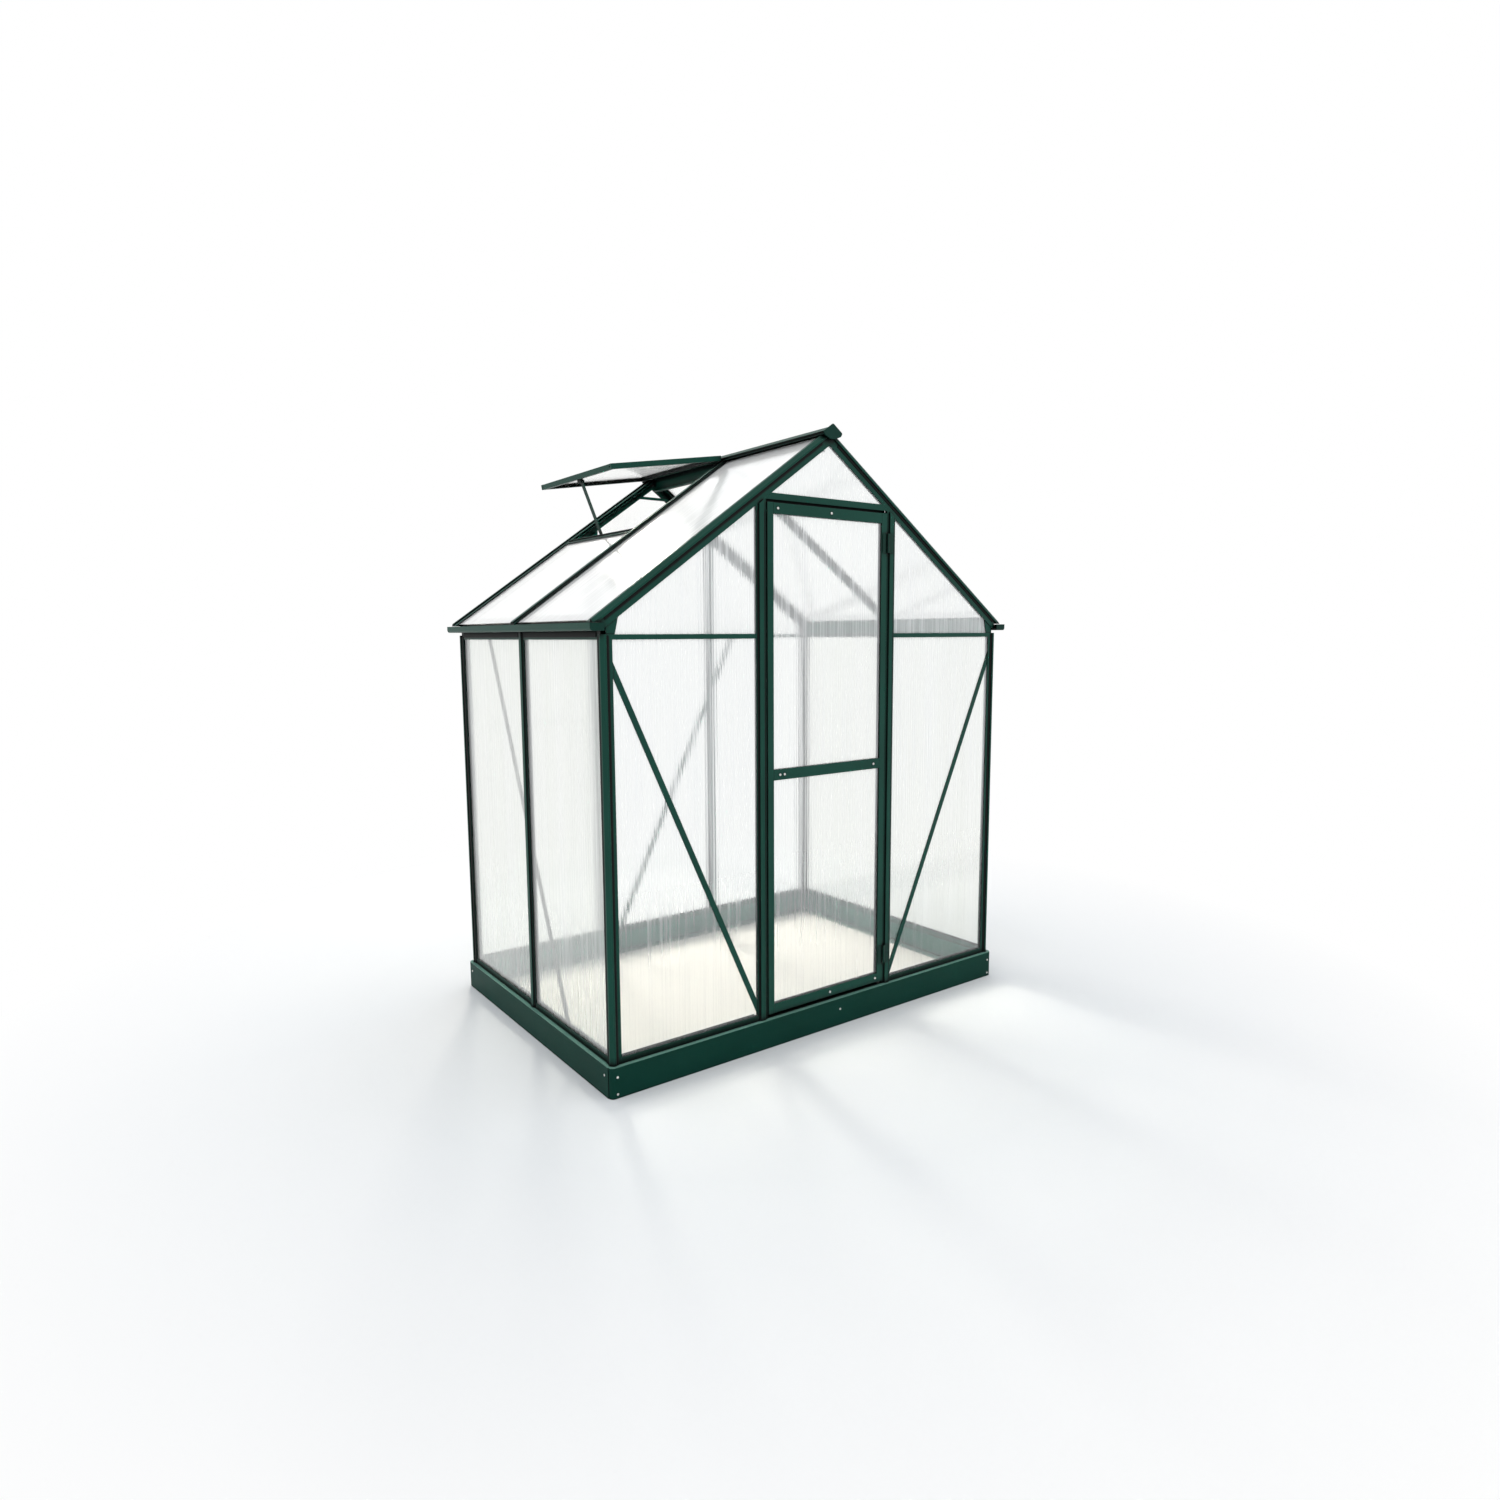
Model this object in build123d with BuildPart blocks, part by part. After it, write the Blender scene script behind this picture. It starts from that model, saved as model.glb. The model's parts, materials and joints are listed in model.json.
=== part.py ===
"""Walk-in greenhouse: steel base, extruded glazing frame, twin-wall sheets, hinged door and ridge vent."""

import os
from math import atan2, cos, hypot, radians, sin, sqrt, tan

from build123d import *

os.makedirs("parts", exist_ok=True)

# Footprint and heights, millimetres
base_width = 1850.0
base_depth = 1260.0
base_height = 104.0
wall_setback = 12.0
eave_height = 1456.0
eave_body = 81.5
roof_pitch = 35.2

# Steel base rails
base_sheet = 2.0
base_flange = 45.0
base_corner_radius = 16.0
base_return = 70.0
anchor_hole_radius = 4.5
anchor_inset = 24.0
anchor_from_end = 120.0

# Clearances
slip = 0.3
joint_gap = 0.5
edge_play = 4.0
pin_clearance = 0.05

# Sheets, strips and the profile that holds them
metal = 2.0
sheet_thickness = 4.0
sheet_skin = 0.8
sheet_edge = 2.0
strip_thickness = 3.0
strip_width = 20.0
nose_width = 20.0
nose_height = 6.0
edge_break = 1.2
bar_width = 42.0
bar_depth = 30.0
bar_web = 4.0
heel_width = 24.0
post_leg = 40.0
rafter_leg = 46.0
corner_chamfer = 10.0
sill_height = 20.0

# Eave rail and gutter
eave_lip = 16.0
gutter_floor = 27.0
gutter_width = 42.0
gutter_face = 22.0
gutter_lip = 8.0
gutter_radius = 10.0
gutter_overhang = 8.0
gutter_cap = 3.0
eave_tip = 27.0
sheet_tip = 17.0

# Ridge
ridge_web = 6.0
ridge_depth = 70.0
ridge_foot_width = 24.0
ridge_foot = 4.0
ridge_cap = 4.0
ridge_cap_round = 6.0
ridge_cap_drop = 37.0
ridge_cap_foot = 20.0
ridge_plug_width = 44.0
bulb_radius = 4.0
socket_wall = 1.9
hinge_down_slope = 38.0
socket_mouth_low = -40.0
socket_mouth_high = 70.0
roof_sheet_top = 26.0

# Gussets and braces, each brace named by the points its middle line runs through
gusset_tail = 30.0
gusset_reach_low = 49.0
gusset_reach_high = 63.0
ridge_tie_drop = 104.0
ridge_tie_width = 12.0
ridge_tie_half = 92.0
front_brace_top_inset = 37.0
front_brace_top_drop = 82.0
front_brace_foot_inset = 18.0
front_brace_foot_rise = 42.0
side_brace_width = 28.0
side_brace_top = 362.0
side_brace_foot = 246.0
rear_brace_top = 420.0
rear_brace_foot = 233.0

# Door
door_gap = 3.0
door_set_back = 2.0
door_depth = 20.0
stile_width = 27.0
top_rail = 37.0
middle_rail = 38.0
bottom_rail = 35.0
middle_rail_share = 0.482
leaf_groove = 10.0
threshold_gap = 13.0
header_lip = 22.0
header_tuck = 18.0
header_web_rise = 8.0
header_gap = 10.0
stop_overlap = 12.0

# Door hinges and magnetic catch
hinge_pin_radius = 2.5
knuckle_radius = 4.5
hinge_forward = 3.0
hinge_length = 70.0
door_knuckle = 30.0
hinge_plate = 2.0
hinge_door_reach = 24.0
hinge_jamb_reach = 28.0
hinge_inset = 108.0
magnet_length = 120.0
magnet_height = 11.0
strike_thickness = 1.0
magnet_gap = 0.5

# Vent and its stay
vent_length = 508.0
vent_open = 26.0
vent_overlap = 8.0
vent_rail = 18.0
vent_thickness = 20.0
vent_clearance = 1.0
vent_start = 8.0
vent_groove = 8.0
bulb_neck = 2.5
cill_under_vent = 12.0
cill_lip = 18.0
cill_heel = 14.0
cill_top_gap = 0.7
stay_width = 22.0
stay_eye_radius = 5.0
stay_pivot_inset = 30.0
stay_pivot_drop = 12.0
stay_tail = 13.0
stay_slot_width = 7.0
stay_slot_above = 11.0
stay_slot_below = 3.5
ear_thickness = 2.5
ear_radius = 6.0
peg_radius = 2.5
peg_from_cill = 8.0
peg_depth = 22.0
peg_end = 2.5
catch_half_width = 12.0
catch_half_height = 7.0

# Depths behind the outer plane of a wall or roof slope
slot_front = nose_height + metal
slot_back = slot_front + strip_thickness + sheet_thickness + 3 * slip
shelf_back = slot_back + metal
strip_front = slot_front + slip
strip_back = strip_front + strip_thickness
sheet_back = slot_back - slip
corner_nose = shelf_back
inner_strip_back = bar_depth + slip + strip_thickness

# Outer planes and the roof
half_width = base_width / 2
half_depth = base_depth / 2
wall_x = half_width - wall_setback
wall_y = half_depth - wall_setback
post_x = wall_x / 3
pitch = radians(roof_pitch)
ridge_height = eave_height + eave_body + wall_x * tan(pitch)
gutter_top = eave_height + gutter_floor + metal + gutter_face
bar_half = bar_width / 2

front_plane = Plane((0, -wall_y, 0), x_dir=(1, 0, 0), z_dir=(0, -1, 0))
rear_plane = Plane((0, wall_y, 0), x_dir=(-1, 0, 0), z_dir=(0, 1, 0))
left_plane = Plane((-wall_x, 0, 0), x_dir=(0, -1, 0), z_dir=(-1, 0, 0))
slope_down = Vector(-cos(pitch), 0, -sin(pitch))
slope_out = Vector(-sin(pitch), 0, cos(pitch))
left_roof = Plane((0, 0, ridge_height), x_dir=(0, 1, 0), z_dir=slope_out)


def roof_height(x, depth=0.0):
    """Height, at x from the middle, of the plane that lies this deep under the roof's outer plane."""
    return ridge_height - x * tan(pitch) - depth / cos(pitch)


def on_slope(down, rise):
    """Point (x, z) of the right slope, down from the ridge line and out from the roof's outer plane."""
    x = down * cos(pitch) + rise * sin(pitch)
    z = ridge_height - down * sin(pitch) + rise * cos(pitch)
    return (x, z)


def under_rafter(side):
    """Plane just under the gable rafter of one side, facing up out of the roof."""
    height = roof_height(0, rafter_leg + slip)
    return Plane((0, 0, height), x_dir=(0, 1, 0), z_dir=(side * sin(pitch), 0, cos(pitch)))


def mirrored(points):
    """Outline closed by its own mirror image about the vertical axis."""
    return points + [(-x, y) for x, y in reversed(points)]


def bar_outline():
    """Glazing bar: proud nose, two lips, a sheet slot on each side, web and inner heel."""
    nose = nose_width / 2
    web = bar_web / 2
    heel = heel_width / 2
    right = [
        (nose - edge_break, 0),
        (nose, -edge_break),
        (nose, -nose_height),
        (bar_half, -nose_height),
        (bar_half, -slot_front),
        (web, -slot_front),
        (web, -slot_back),
        (bar_half, -slot_back),
        (bar_half, -shelf_back),
        (web, -shelf_back),
        (web, metal - bar_depth),
        (heel, metal - bar_depth),
        (heel, -bar_depth),
    ]
    return mirrored(right)


def bar_chamber():
    """Hollow inside the nose of a glazing bar."""
    half = nose_width / 2 - metal
    return [(half, -metal), (half, -nose_height), (-half, -nose_height), (-half, -metal)]


def corner_outline(leg):
    """Corner profile: chamfered nose with a lip and a shelf along each of its two walls."""
    one_leg = [
        (corner_chamfer, 0),
        (corner_nose - edge_break, 0),
        (corner_nose, edge_break),
        (corner_nose, nose_height),
        (leg, nose_height),
        (leg, slot_front),
        (corner_nose, slot_front),
        (corner_nose, slot_back),
        (leg, slot_back),
        (leg, shelf_back),
    ]
    other_leg = [(b, a) for a, b in reversed(one_leg)]
    return one_leg + [(shelf_back, shelf_back)] + other_leg


def corner_chamber():
    """Hollow inside the nose of a corner profile."""
    far = corner_nose - metal
    near = corner_chamfer + metal * (sqrt(2) - 1)
    return [(near, metal), (far, metal), (far, far), (metal, far), (metal, near)]


def glazing_bar(origin, outward, along, length):
    """Straight length of glazing bar with its nose facing outward."""
    across = Vector(*outward).cross(Vector(*along))
    with BuildPart() as bar:
        with BuildSketch(Plane(origin, x_dir=across, z_dir=along)):
            Polygon(*bar_outline())
            Polygon(*bar_chamber(), mode=Mode.SUBTRACT)
        extrude(amount=length)
    return bar.part


def corner_bar(origin, leg_one, leg_two, along, length, leg):
    """Straight length of corner profile with its legs along the two walls it joins."""
    one = Vector(*leg_one)
    two = Vector(*leg_two)
    run = Vector(*along)
    first = one if one.cross(two).dot(run) > 0 else two
    with BuildPart() as bar:
        with BuildSketch(Plane(origin, x_dir=first, z_dir=run)):
            Polygon(*corner_outline(leg))
            Polygon(*corner_chamber(), mode=Mode.SUBTRACT)
        extrude(amount=length)
    return bar.part


def wall_channel(points, outward, middle, length):
    """Level profile along a wall, drawn as (out from the wall plane, height), centred on the point given."""
    run = Vector(*outward).cross(Vector(0, 0, 1))
    with BuildPart() as channel:
        with BuildSketch(Plane(middle, x_dir=outward, z_dir=run)):
            Polygon(*points)
        extrude(amount=length / 2, both=True)
    return channel.part


def twin_wall(plane, outline):
    """Twin-wall sheet in the slots behind an outer plane: two skins and taped edges round a hollow core."""
    with BuildPart() as sheet:
        with BuildSketch(plane.offset(-sheet_back)):
            Polygon(*outline)
        extrude(amount=sheet_thickness)
        with BuildSketch(plane.offset(sheet_skin - sheet_back)):
            Polygon(*outline)
            offset(amount=-sheet_edge, kind=Kind.INTERSECTION)
        extrude(amount=sheet_thickness - 2 * sheet_skin, mode=Mode.SUBTRACT)
    return sheet.part


def flat_strip(plane, back, outline):
    """Flat bar or plate whose back lies this deep behind an outer plane."""
    with BuildPart() as strip:
        with BuildSketch(plane.offset(-back)):
            Polygon(*outline)
        extrude(amount=strip_thickness)
    return strip.part


def level_ended_strip(foot, head, low, high, width=strip_width):
    """Outline of a slanting strip through two points, cut level at a low and a high end."""
    lean = (head[0] - foot[0]) / (head[1] - foot[1])
    half = width / 2 * hypot(1, lean)
    bottom = foot[0] + (low - foot[1]) * lean
    top = foot[0] + (high - foot[1]) * lean
    return [(bottom - half, low), (bottom + half, low), (top + half, high), (top - half, high)]


def box_outline(left, right, low, high):
    """Rectangle by its four sides."""
    return [(left, low), (right, low), (right, high), (left, high)]


def save(piece, name):
    """Label one sub-part and write it to its own file."""
    piece.label = name
    export_step(piece, f"parts/{name}.step")


# Steel base: two end rails bent round the corners, two side rails lapped over their returns
inner_corner_radius = base_corner_radius - base_sheet
end_rail_width = base_width - 2 * base_sheet
end_rail_front = -half_depth + base_return / 2

with BuildPart() as base_front:
    with BuildSketch():
        with Locations((0, end_rail_front)):
            Rectangle(end_rail_width, base_return)
        fillet(vertices().group_by(Axis.Y)[0], base_corner_radius)
    extrude(amount=base_height)
    with BuildSketch(Plane.XY.offset(base_sheet)):
        with Locations((0, end_rail_front + base_sheet)):
            Rectangle(end_rail_width - 2 * base_sheet, base_return)
        fillet(vertices().group_by(Axis.Y)[0], inner_corner_radius)
    extrude(amount=base_height - 2 * base_sheet, mode=Mode.SUBTRACT)
    with BuildSketch():
        with Locations((0, end_rail_front + base_flange)):
            Rectangle(end_rail_width - 2 * base_sheet, base_return)
    extrude(amount=base_height, mode=Mode.SUBTRACT)
    with GridLocations(2 * (half_width - anchor_from_end), 1, 2, 1):
        with Locations((0, anchor_inset - half_depth, base_sheet)):
            Hole(anchor_hole_radius, depth=base_sheet)
save(base_front.part, "base_front")

with BuildPart() as base_rear:
    mirror(base_front.part, about=Plane.XZ)
save(base_rear.part, "base_rear")

side_web_length = 2 * (half_depth - base_corner_radius)
side_flange_length = 2 * (half_depth - base_return - joint_gap)
side_tongue_length = 2 * (half_depth - base_flange - joint_gap)
side_tongue_edge = half_width - 2 * base_sheet - joint_gap

with BuildPart() as base_right:
    with BuildSketch(Plane.XZ):
        Polygon(*box_outline(half_width - base_sheet, half_width, 0, base_height))
    extrude(amount=side_web_length / 2, both=True)
    with BuildSketch(Plane.XZ):
        Polygon(*box_outline(half_width - base_flange, half_width, 0, base_sheet))
        Polygon(*box_outline(half_width - base_flange, half_width, base_height - base_sheet, base_height))
    extrude(amount=side_flange_length / 2, both=True)
    with BuildSketch(Plane.XZ):
        Polygon(*box_outline(half_width - base_flange, side_tongue_edge, 0, base_sheet))
        Polygon(*box_outline(half_width - base_flange, side_tongue_edge, base_height - base_sheet, base_height))
    extrude(amount=side_tongue_length / 2, both=True)
save(base_right.part, "base_right")

with BuildPart() as base_left:
    mirror(base_right.part, about=Plane.YZ)
save(base_left.part, "base_left")

# Corner posts
post_length = eave_height + eave_lip - base_height
corners = {"front_left": (-1, -1), "front_right": (1, -1), "rear_left": (-1, 1), "rear_right": (1, 1)}
for corner, (side, end) in corners.items():
    foot = (side * wall_x, end * wall_y, base_height)
    post = corner_bar(foot, (-side, 0, 0), (0, -end, 0), (0, 0, 1), post_length, post_leg)
    save(post, f"post_{corner}")

# Wall studs: the nose runs past sill and eave rail, the rest stands between them
stud_top = eave_height + gutter_floor - slip
notch_align = (Align.MAX, Align.CENTER, Align.MIN)
with BuildPart() as wall_studs:
    add(glazing_bar((wall_x, 0, base_height), (1, 0, 0), (0, 0, 1), stud_top - base_height))
    with Locations((wall_x - nose_height, 0, base_height)):
        Box(bar_depth, bar_width, sill_height + slip, align=notch_align, mode=Mode.SUBTRACT)
    with Locations((wall_x - nose_height, 0, eave_height - slip)):
        Box(bar_depth, bar_width, gutter_floor, align=notch_align, mode=Mode.SUBTRACT)
    mirror(about=Plane.YZ)
save(wall_studs.part, "wall_studs")

# Gable posts: door jambs in front, closed posts behind
gable_post_length = ridge_height - base_height
for name, side in (("jamb_left", -1), ("jamb_right", 1)):
    with BuildPart() as jamb:
        add(glazing_bar((side * post_x, -wall_y, base_height), (0, -1, 0), (0, 0, 1), gable_post_length))
        split(bisect_by=under_rafter(side), keep=Keep.BOTTOM)
    save(jamb.part, name)

with BuildPart() as rear_posts:
    add(glazing_bar((post_x, wall_y, base_height), (0, 1, 0), (0, 0, 1), gable_post_length))
    split(bisect_by=under_rafter(1), keep=Keep.BOTTOM)
    with Locations((post_x, wall_y - nose_height, base_height)):
        Box(bar_width, bar_depth, sill_height + slip,
            align=(Align.CENTER, Align.MAX, Align.MIN), mode=Mode.SUBTRACT)
    mirror(about=Plane.YZ)
save(rear_posts.part, "rear_posts")

# Sills
sill_outline = [
    (-nose_height, 0),
    (-nose_height, sill_height),
    (-slot_front, sill_height),
    (-slot_front, metal),
    (-slot_back, metal),
    (-slot_back, sill_height),
    (-shelf_back, sill_height),
    (-shelf_back, metal),
    (metal - bar_depth, metal),
    (metal - bar_depth, sill_height),
    (-bar_depth, sill_height),
    (-bar_depth, 0),
]
side_sill_length = 2 * (wall_y - post_leg)
outer_bay_left = post_x + bar_half
outer_bay_right = wall_x - post_leg
outer_bay = outer_bay_right - outer_bay_left
outer_bay_middle = (outer_bay_left + outer_bay_right) / 2
middle_bay = 2 * (post_x - bar_half)

with BuildPart() as sills_side:
    add(wall_channel(sill_outline, (1, 0, 0), (wall_x, 0, base_height), side_sill_length))
    mirror(about=Plane.YZ)
save(sills_side.part, "sills_side")

with BuildPart() as sills_gable:
    add(wall_channel(sill_outline, (0, -1, 0), (outer_bay_middle, -wall_y, base_height), outer_bay))
    mirror(about=Plane.YZ)
    add(wall_channel(sill_outline, (0, 1, 0), (0, wall_y, base_height), 2 * outer_bay_right))
save(sills_gable.part, "sills_gable")

# Ties at eave height across both gables
tie_low = eave_lip / 2 - metal / 2
tie_high = eave_lip / 2 + metal / 2
tie_outline = [
    (-nose_height, 0),
    (-nose_height, eave_lip),
    (-slot_front, eave_lip),
    (-slot_front, tie_high),
    (-slot_back, tie_high),
    (-slot_back, eave_lip),
    (-shelf_back, eave_lip),
    (-shelf_back, tie_high),
    (metal - bar_depth, tie_high),
    (metal - bar_depth, eave_lip),
    (-bar_depth, eave_lip),
    (-bar_depth, 0),
    (metal - bar_depth, 0),
    (metal - bar_depth, tie_low),
    (-shelf_back, tie_low),
    (-shelf_back, 0),
    (-slot_back, 0),
    (-slot_back, tie_low),
    (-slot_front, tie_low),
    (-slot_front, 0),
]

with BuildPart() as ties_front:
    add(wall_channel(tie_outline, (0, -1, 0), (outer_bay_middle, -wall_y, eave_height), outer_bay))
    mirror(about=Plane.YZ)
save(ties_front.part, "ties_front")

with BuildPart() as ties_rear:
    add(wall_channel(tie_outline, (0, 1, 0), (outer_bay_middle, wall_y, eave_height), outer_bay))
    mirror(about=Plane.YZ)
    add(wall_channel(tie_outline, (0, 1, 0), (0, wall_y, eave_height), middle_bay))
save(ties_rear.part, "ties_rear")

# Eave rails: slot for the wall sheets below, boxed seat for the roof bars, gutter outside
gutter_low = eave_height + gutter_floor


def eave_seat(out):
    """Height of the roof bars' seat on the eave rail, at a distance out from the wall plane."""
    return roof_height(wall_x + out, shelf_back + slip)


eave_outline = [
    (-shelf_back, eave_height),
    (-slot_back, eave_height),
    (-slot_back, eave_height + eave_lip),
    (-slot_front, eave_height + eave_lip),
    (-slot_front, eave_height),
    (-nose_height, eave_height),
    (-nose_height, gutter_low),
    (gutter_width, gutter_low),
    (gutter_width, gutter_top),
    (gutter_width - gutter_lip, gutter_top),
    (gutter_width - gutter_lip, gutter_top - metal),
    (gutter_width - metal, gutter_top - metal),
    (gutter_width - metal, gutter_low + metal),
    (-nose_height, gutter_low + metal),
    (-nose_height, eave_seat(-nose_height)),
    (-bar_depth, eave_seat(-bar_depth)),
    (-bar_depth, eave_height + eave_lip),
    (-shelf_back, eave_height + eave_lip),
]
box_outer = -nose_height - metal
box_inner = metal - bar_depth
eave_chamber = [
    (box_inner, eave_height + eave_lip + metal),
    (box_outer, eave_height + eave_lip + metal),
    (box_outer, eave_seat(box_outer) - metal / cos(pitch)),
    (box_inner, eave_seat(box_inner) - metal / cos(pitch)),
]
eave_half = wall_y + gutter_overhang
lip_end = wall_y - post_leg
seat_end = wall_y - shelf_back - slip
eave_tall = roof_height(wall_x - bar_depth) - eave_height

with BuildPart() as eave_right:
    with BuildSketch(Plane((wall_x, 0, 0), x_dir=(1, 0, 0), z_dir=(0, -1, 0))):
        Polygon(*eave_outline)
        Polygon(*eave_chamber, mode=Mode.SUBTRACT)
        fillet(vertices().group_by(Axis.X)[-1].sort_by(Axis.Y)[0], gutter_radius)
        fillet(vertices().group_by(Axis.X)[-2].sort_by(Axis.Y)[0], gutter_radius - metal)
    extrude(amount=eave_half, both=True)
    for end in (-1, 1):
        reach = eave_half - lip_end
        with Locations((wall_x - nose_height, end * (lip_end + reach / 2), eave_height)):
            Box(bar_depth, reach, eave_lip, align=notch_align, mode=Mode.SUBTRACT)
        reach = eave_half - seat_end
        with Locations((wall_x - nose_height, end * (seat_end + reach / 2), eave_height)):
            Box(bar_depth, reach, eave_tall, align=notch_align, mode=Mode.SUBTRACT)
save(eave_right.part, "eave_right")

with BuildPart() as eave_left:
    mirror(eave_right.part, about=Plane.YZ)
save(eave_left.part, "eave_left")

with BuildPart() as gutter_caps:
    with BuildSketch(Plane((wall_x, -eave_half, 0), x_dir=(1, 0, 0), z_dir=(0, -1, 0))):
        Polygon(*box_outline(-nose_height, gutter_width, gutter_low, gutter_top))
        fillet(vertices().group_by(Axis.X)[-1].sort_by(Axis.Y)[0], gutter_radius)
    extrude(amount=gutter_cap)
    mirror(about=Plane.YZ)
    mirror(about=Plane.XZ)
save(gutter_caps.part, "gutter_caps")

# Gable rafters and middle roof bars, trimmed over the gutter
slope_length = (wall_x + 2 * eave_tip) / cos(pitch) + 2 * rafter_leg
tip_align = (Align.MIN, Align.CENTER, Align.MIN)
eave_inner = wall_x - bar_depth - slip
notch_right = wall_x + 2 * eave_tip
bar_notch = [
    (eave_inner, roof_height(eave_inner, shelf_back)),
    (eave_inner, eave_height),
    (notch_right, eave_height),
    (notch_right, roof_height(notch_right, shelf_back)),
]
down_right = (cos(pitch), 0, -sin(pitch))
apex_above = Vector(0, 0, ridge_height) - Vector(*down_right) * rafter_leg


def slope_start(y):
    """Point on the right slope's plane, a little past the ridge line, at a place along the ridge."""
    return (apex_above.X, y, apex_above.Z)


for name, end in (("rafters_front", -1), ("rafters_rear", 1)):
    start = slope_start(end * wall_y)
    into_gable = (-sin(pitch), 0, -cos(pitch))
    with BuildPart() as rafters:
        add(corner_bar(start, into_gable, (0, -end, 0), down_right, slope_length, rafter_leg))
        split(bisect_by=Plane.YZ.offset(slip), keep=Keep.TOP)
        split(bisect_by=Plane.YZ.offset(wall_x + eave_tip), keep=Keep.BOTTOM)
        with Locations((wall_x - nose_height, end * (wall_y - rafter_leg / 2), eave_height)):
            Box(3 * eave_tip, 2 * rafter_leg, gutter_top + metal - eave_height,
                align=tip_align, mode=Mode.SUBTRACT)
        mirror(about=Plane.YZ)
    save(rafters.part, name)

with BuildPart() as roof_bars:
    add(glazing_bar(slope_start(0), (sin(pitch), 0, cos(pitch)), down_right, slope_length))
    split(bisect_by=Plane.YZ.offset(ridge_web / 2 + slip), keep=Keep.TOP)
    split(bisect_by=Plane.YZ.offset(wall_x + eave_tip), keep=Keep.BOTTOM)
    with BuildSketch(Plane.XZ):
        Polygon(*bar_notch)
    extrude(amount=bar_width, both=True, mode=Mode.SUBTRACT)
    with Locations((wall_x - nose_height, 0, eave_height)):
        Box(3 * eave_tip, 2 * bar_width, gutter_top + metal - eave_height,
            align=tip_align, mode=Mode.SUBTRACT)
    mirror(about=Plane.YZ)
save(roof_bars.part, "roof_bars")

# Ridge: two wings ending in hinge sockets, a web between the roof bars and a foot
socket_radius = bulb_radius + slip
socket_outer = socket_radius + socket_wall
hinge_rise = socket_outer + slip
wing_top = hinge_rise
wing_low = hinge_rise - metal
wing_end = hinge_down_slope - socket_radius - socket_wall / 2
hinge_right = on_slope(hinge_down_slope, hinge_rise)


def from_hinge(angle, reach):
    """Point at a reach from the right hinge line, turned up from the slope by an angle in degrees."""
    turn = radians(angle) - pitch
    return (hinge_right[0] + reach * cos(turn), hinge_right[1] + reach * sin(turn))


mouth_middle = (socket_mouth_low + socket_mouth_high) / 2
wing_outline = [
    (0, roof_height(0, -wing_top)),
    on_slope(wing_end, wing_top),
    on_slope(wing_end, wing_low),
    (0, roof_height(0, -wing_low)),
]
mouth_outline = [
    hinge_right,
    from_hinge(socket_mouth_low, 2 * socket_outer),
    from_hinge(mouth_middle, 4 * socket_outer),
    from_hinge(socket_mouth_high, 2 * socket_outer),
]
ridge_half = wall_y + gutter_overhang
web_top = roof_height(0, -wing_low)
web_low = ridge_height - ridge_depth
web_end = wall_y - rafter_leg - joint_gap
rafter_room = web_top - web_low - metal

with BuildPart() as ridge_beam:
    with BuildSketch(Plane.XZ):
        Polygon(*wing_outline)
        with Locations(hinge_right):
            Circle(socket_outer)
            Circle(socket_radius, mode=Mode.SUBTRACT)
        Polygon(*mouth_outline, mode=Mode.SUBTRACT)
        Polygon(*box_outline(0, ridge_web / 2, web_low, web_top))
        Polygon(*box_outline(0, ridge_foot_width / 2, web_low, web_low + ridge_foot))
        mirror(about=Plane.YZ)
    extrude(amount=ridge_half, both=True)
    for end in (-1, 1):
        reach = ridge_half - web_end
        with Locations((0, end * (web_end + reach / 2), web_low)):
            Box(2 * ridge_foot_width, reach, rafter_room,
                align=(Align.CENTER, Align.CENTER, Align.MIN), mode=Mode.SUBTRACT)
save(ridge_beam.part, "ridge_beam")

cap_over = hinge_rise + socket_outer + slip
cap_end = hinge_down_slope + socket_outer + slip
cap_low = ridge_height - ridge_cap_drop
plug_rise = wing_low - metal - slip
plug_half = ridge_plug_width / 2
cap_face = Plane((0, -ridge_half, 0), x_dir=(1, 0, 0), z_dir=(0, -1, 0))
cap_outline = [
    (0, roof_height(0, -cap_over)),
    on_slope(cap_end, cap_over),
    on_slope(cap_end, -metal),
    (ridge_cap_foot / 2, cap_low),
]
plug_outline = [
    (0, roof_height(0, -plug_rise)),
    (plug_half, roof_height(plug_half, -plug_rise)),
    (plug_half, roof_height(plug_half, metal)),
    (ridge_cap_foot / 2, cap_low + metal),
]
with BuildPart() as ridge_caps:
    with BuildSketch(cap_face):
        Polygon(*mirrored(cap_outline))
        fillet(vertices().group_by(Axis.Y)[-1], ridge_cap_round)
        fillet(vertices().group_by(Axis.X)[-1], ridge_cap_round)
        fillet(vertices().group_by(Axis.X)[0], ridge_cap_round)
    extrude(amount=ridge_cap)
    with BuildSketch(cap_face):
        Polygon(*mirrored(plug_outline))
    extrude(amount=slip - gutter_overhang)
    mirror(about=Plane.XZ)
save(ridge_caps.part, "ridge_caps")

# Corner gussets in the gable slots, in front of the sheets, and the ridge tie inside the rear gable
gusset_inner = wall_x - post_leg + metal
gusset_outer = wall_x - corner_nose - metal
gusset_cover = rafter_leg - strip_width
gusset_top_end = wall_x - gusset_reach_high
gusset_outline = [
    (gusset_outer, eave_height - gusset_tail),
    (gusset_inner, eave_height - gusset_tail),
    (gusset_inner, eave_height + tie_high + slip),
    (wall_x - gusset_reach_low, eave_height + tie_high + slip),
    (gusset_top_end, roof_height(gusset_top_end, rafter_leg)),
    (gusset_top_end, roof_height(gusset_top_end, gusset_cover)),
    (gusset_outer, roof_height(gusset_outer, gusset_cover)),
]
ridge_tie_low = ridge_height - ridge_tie_drop
ridge_tie_high = ridge_tie_low + ridge_tie_width
ridge_tie_outline = [
    (ridge_tie_half, ridge_tie_low),
    (ridge_tie_half - ridge_tie_width / tan(pitch), ridge_tie_high),
]
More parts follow.
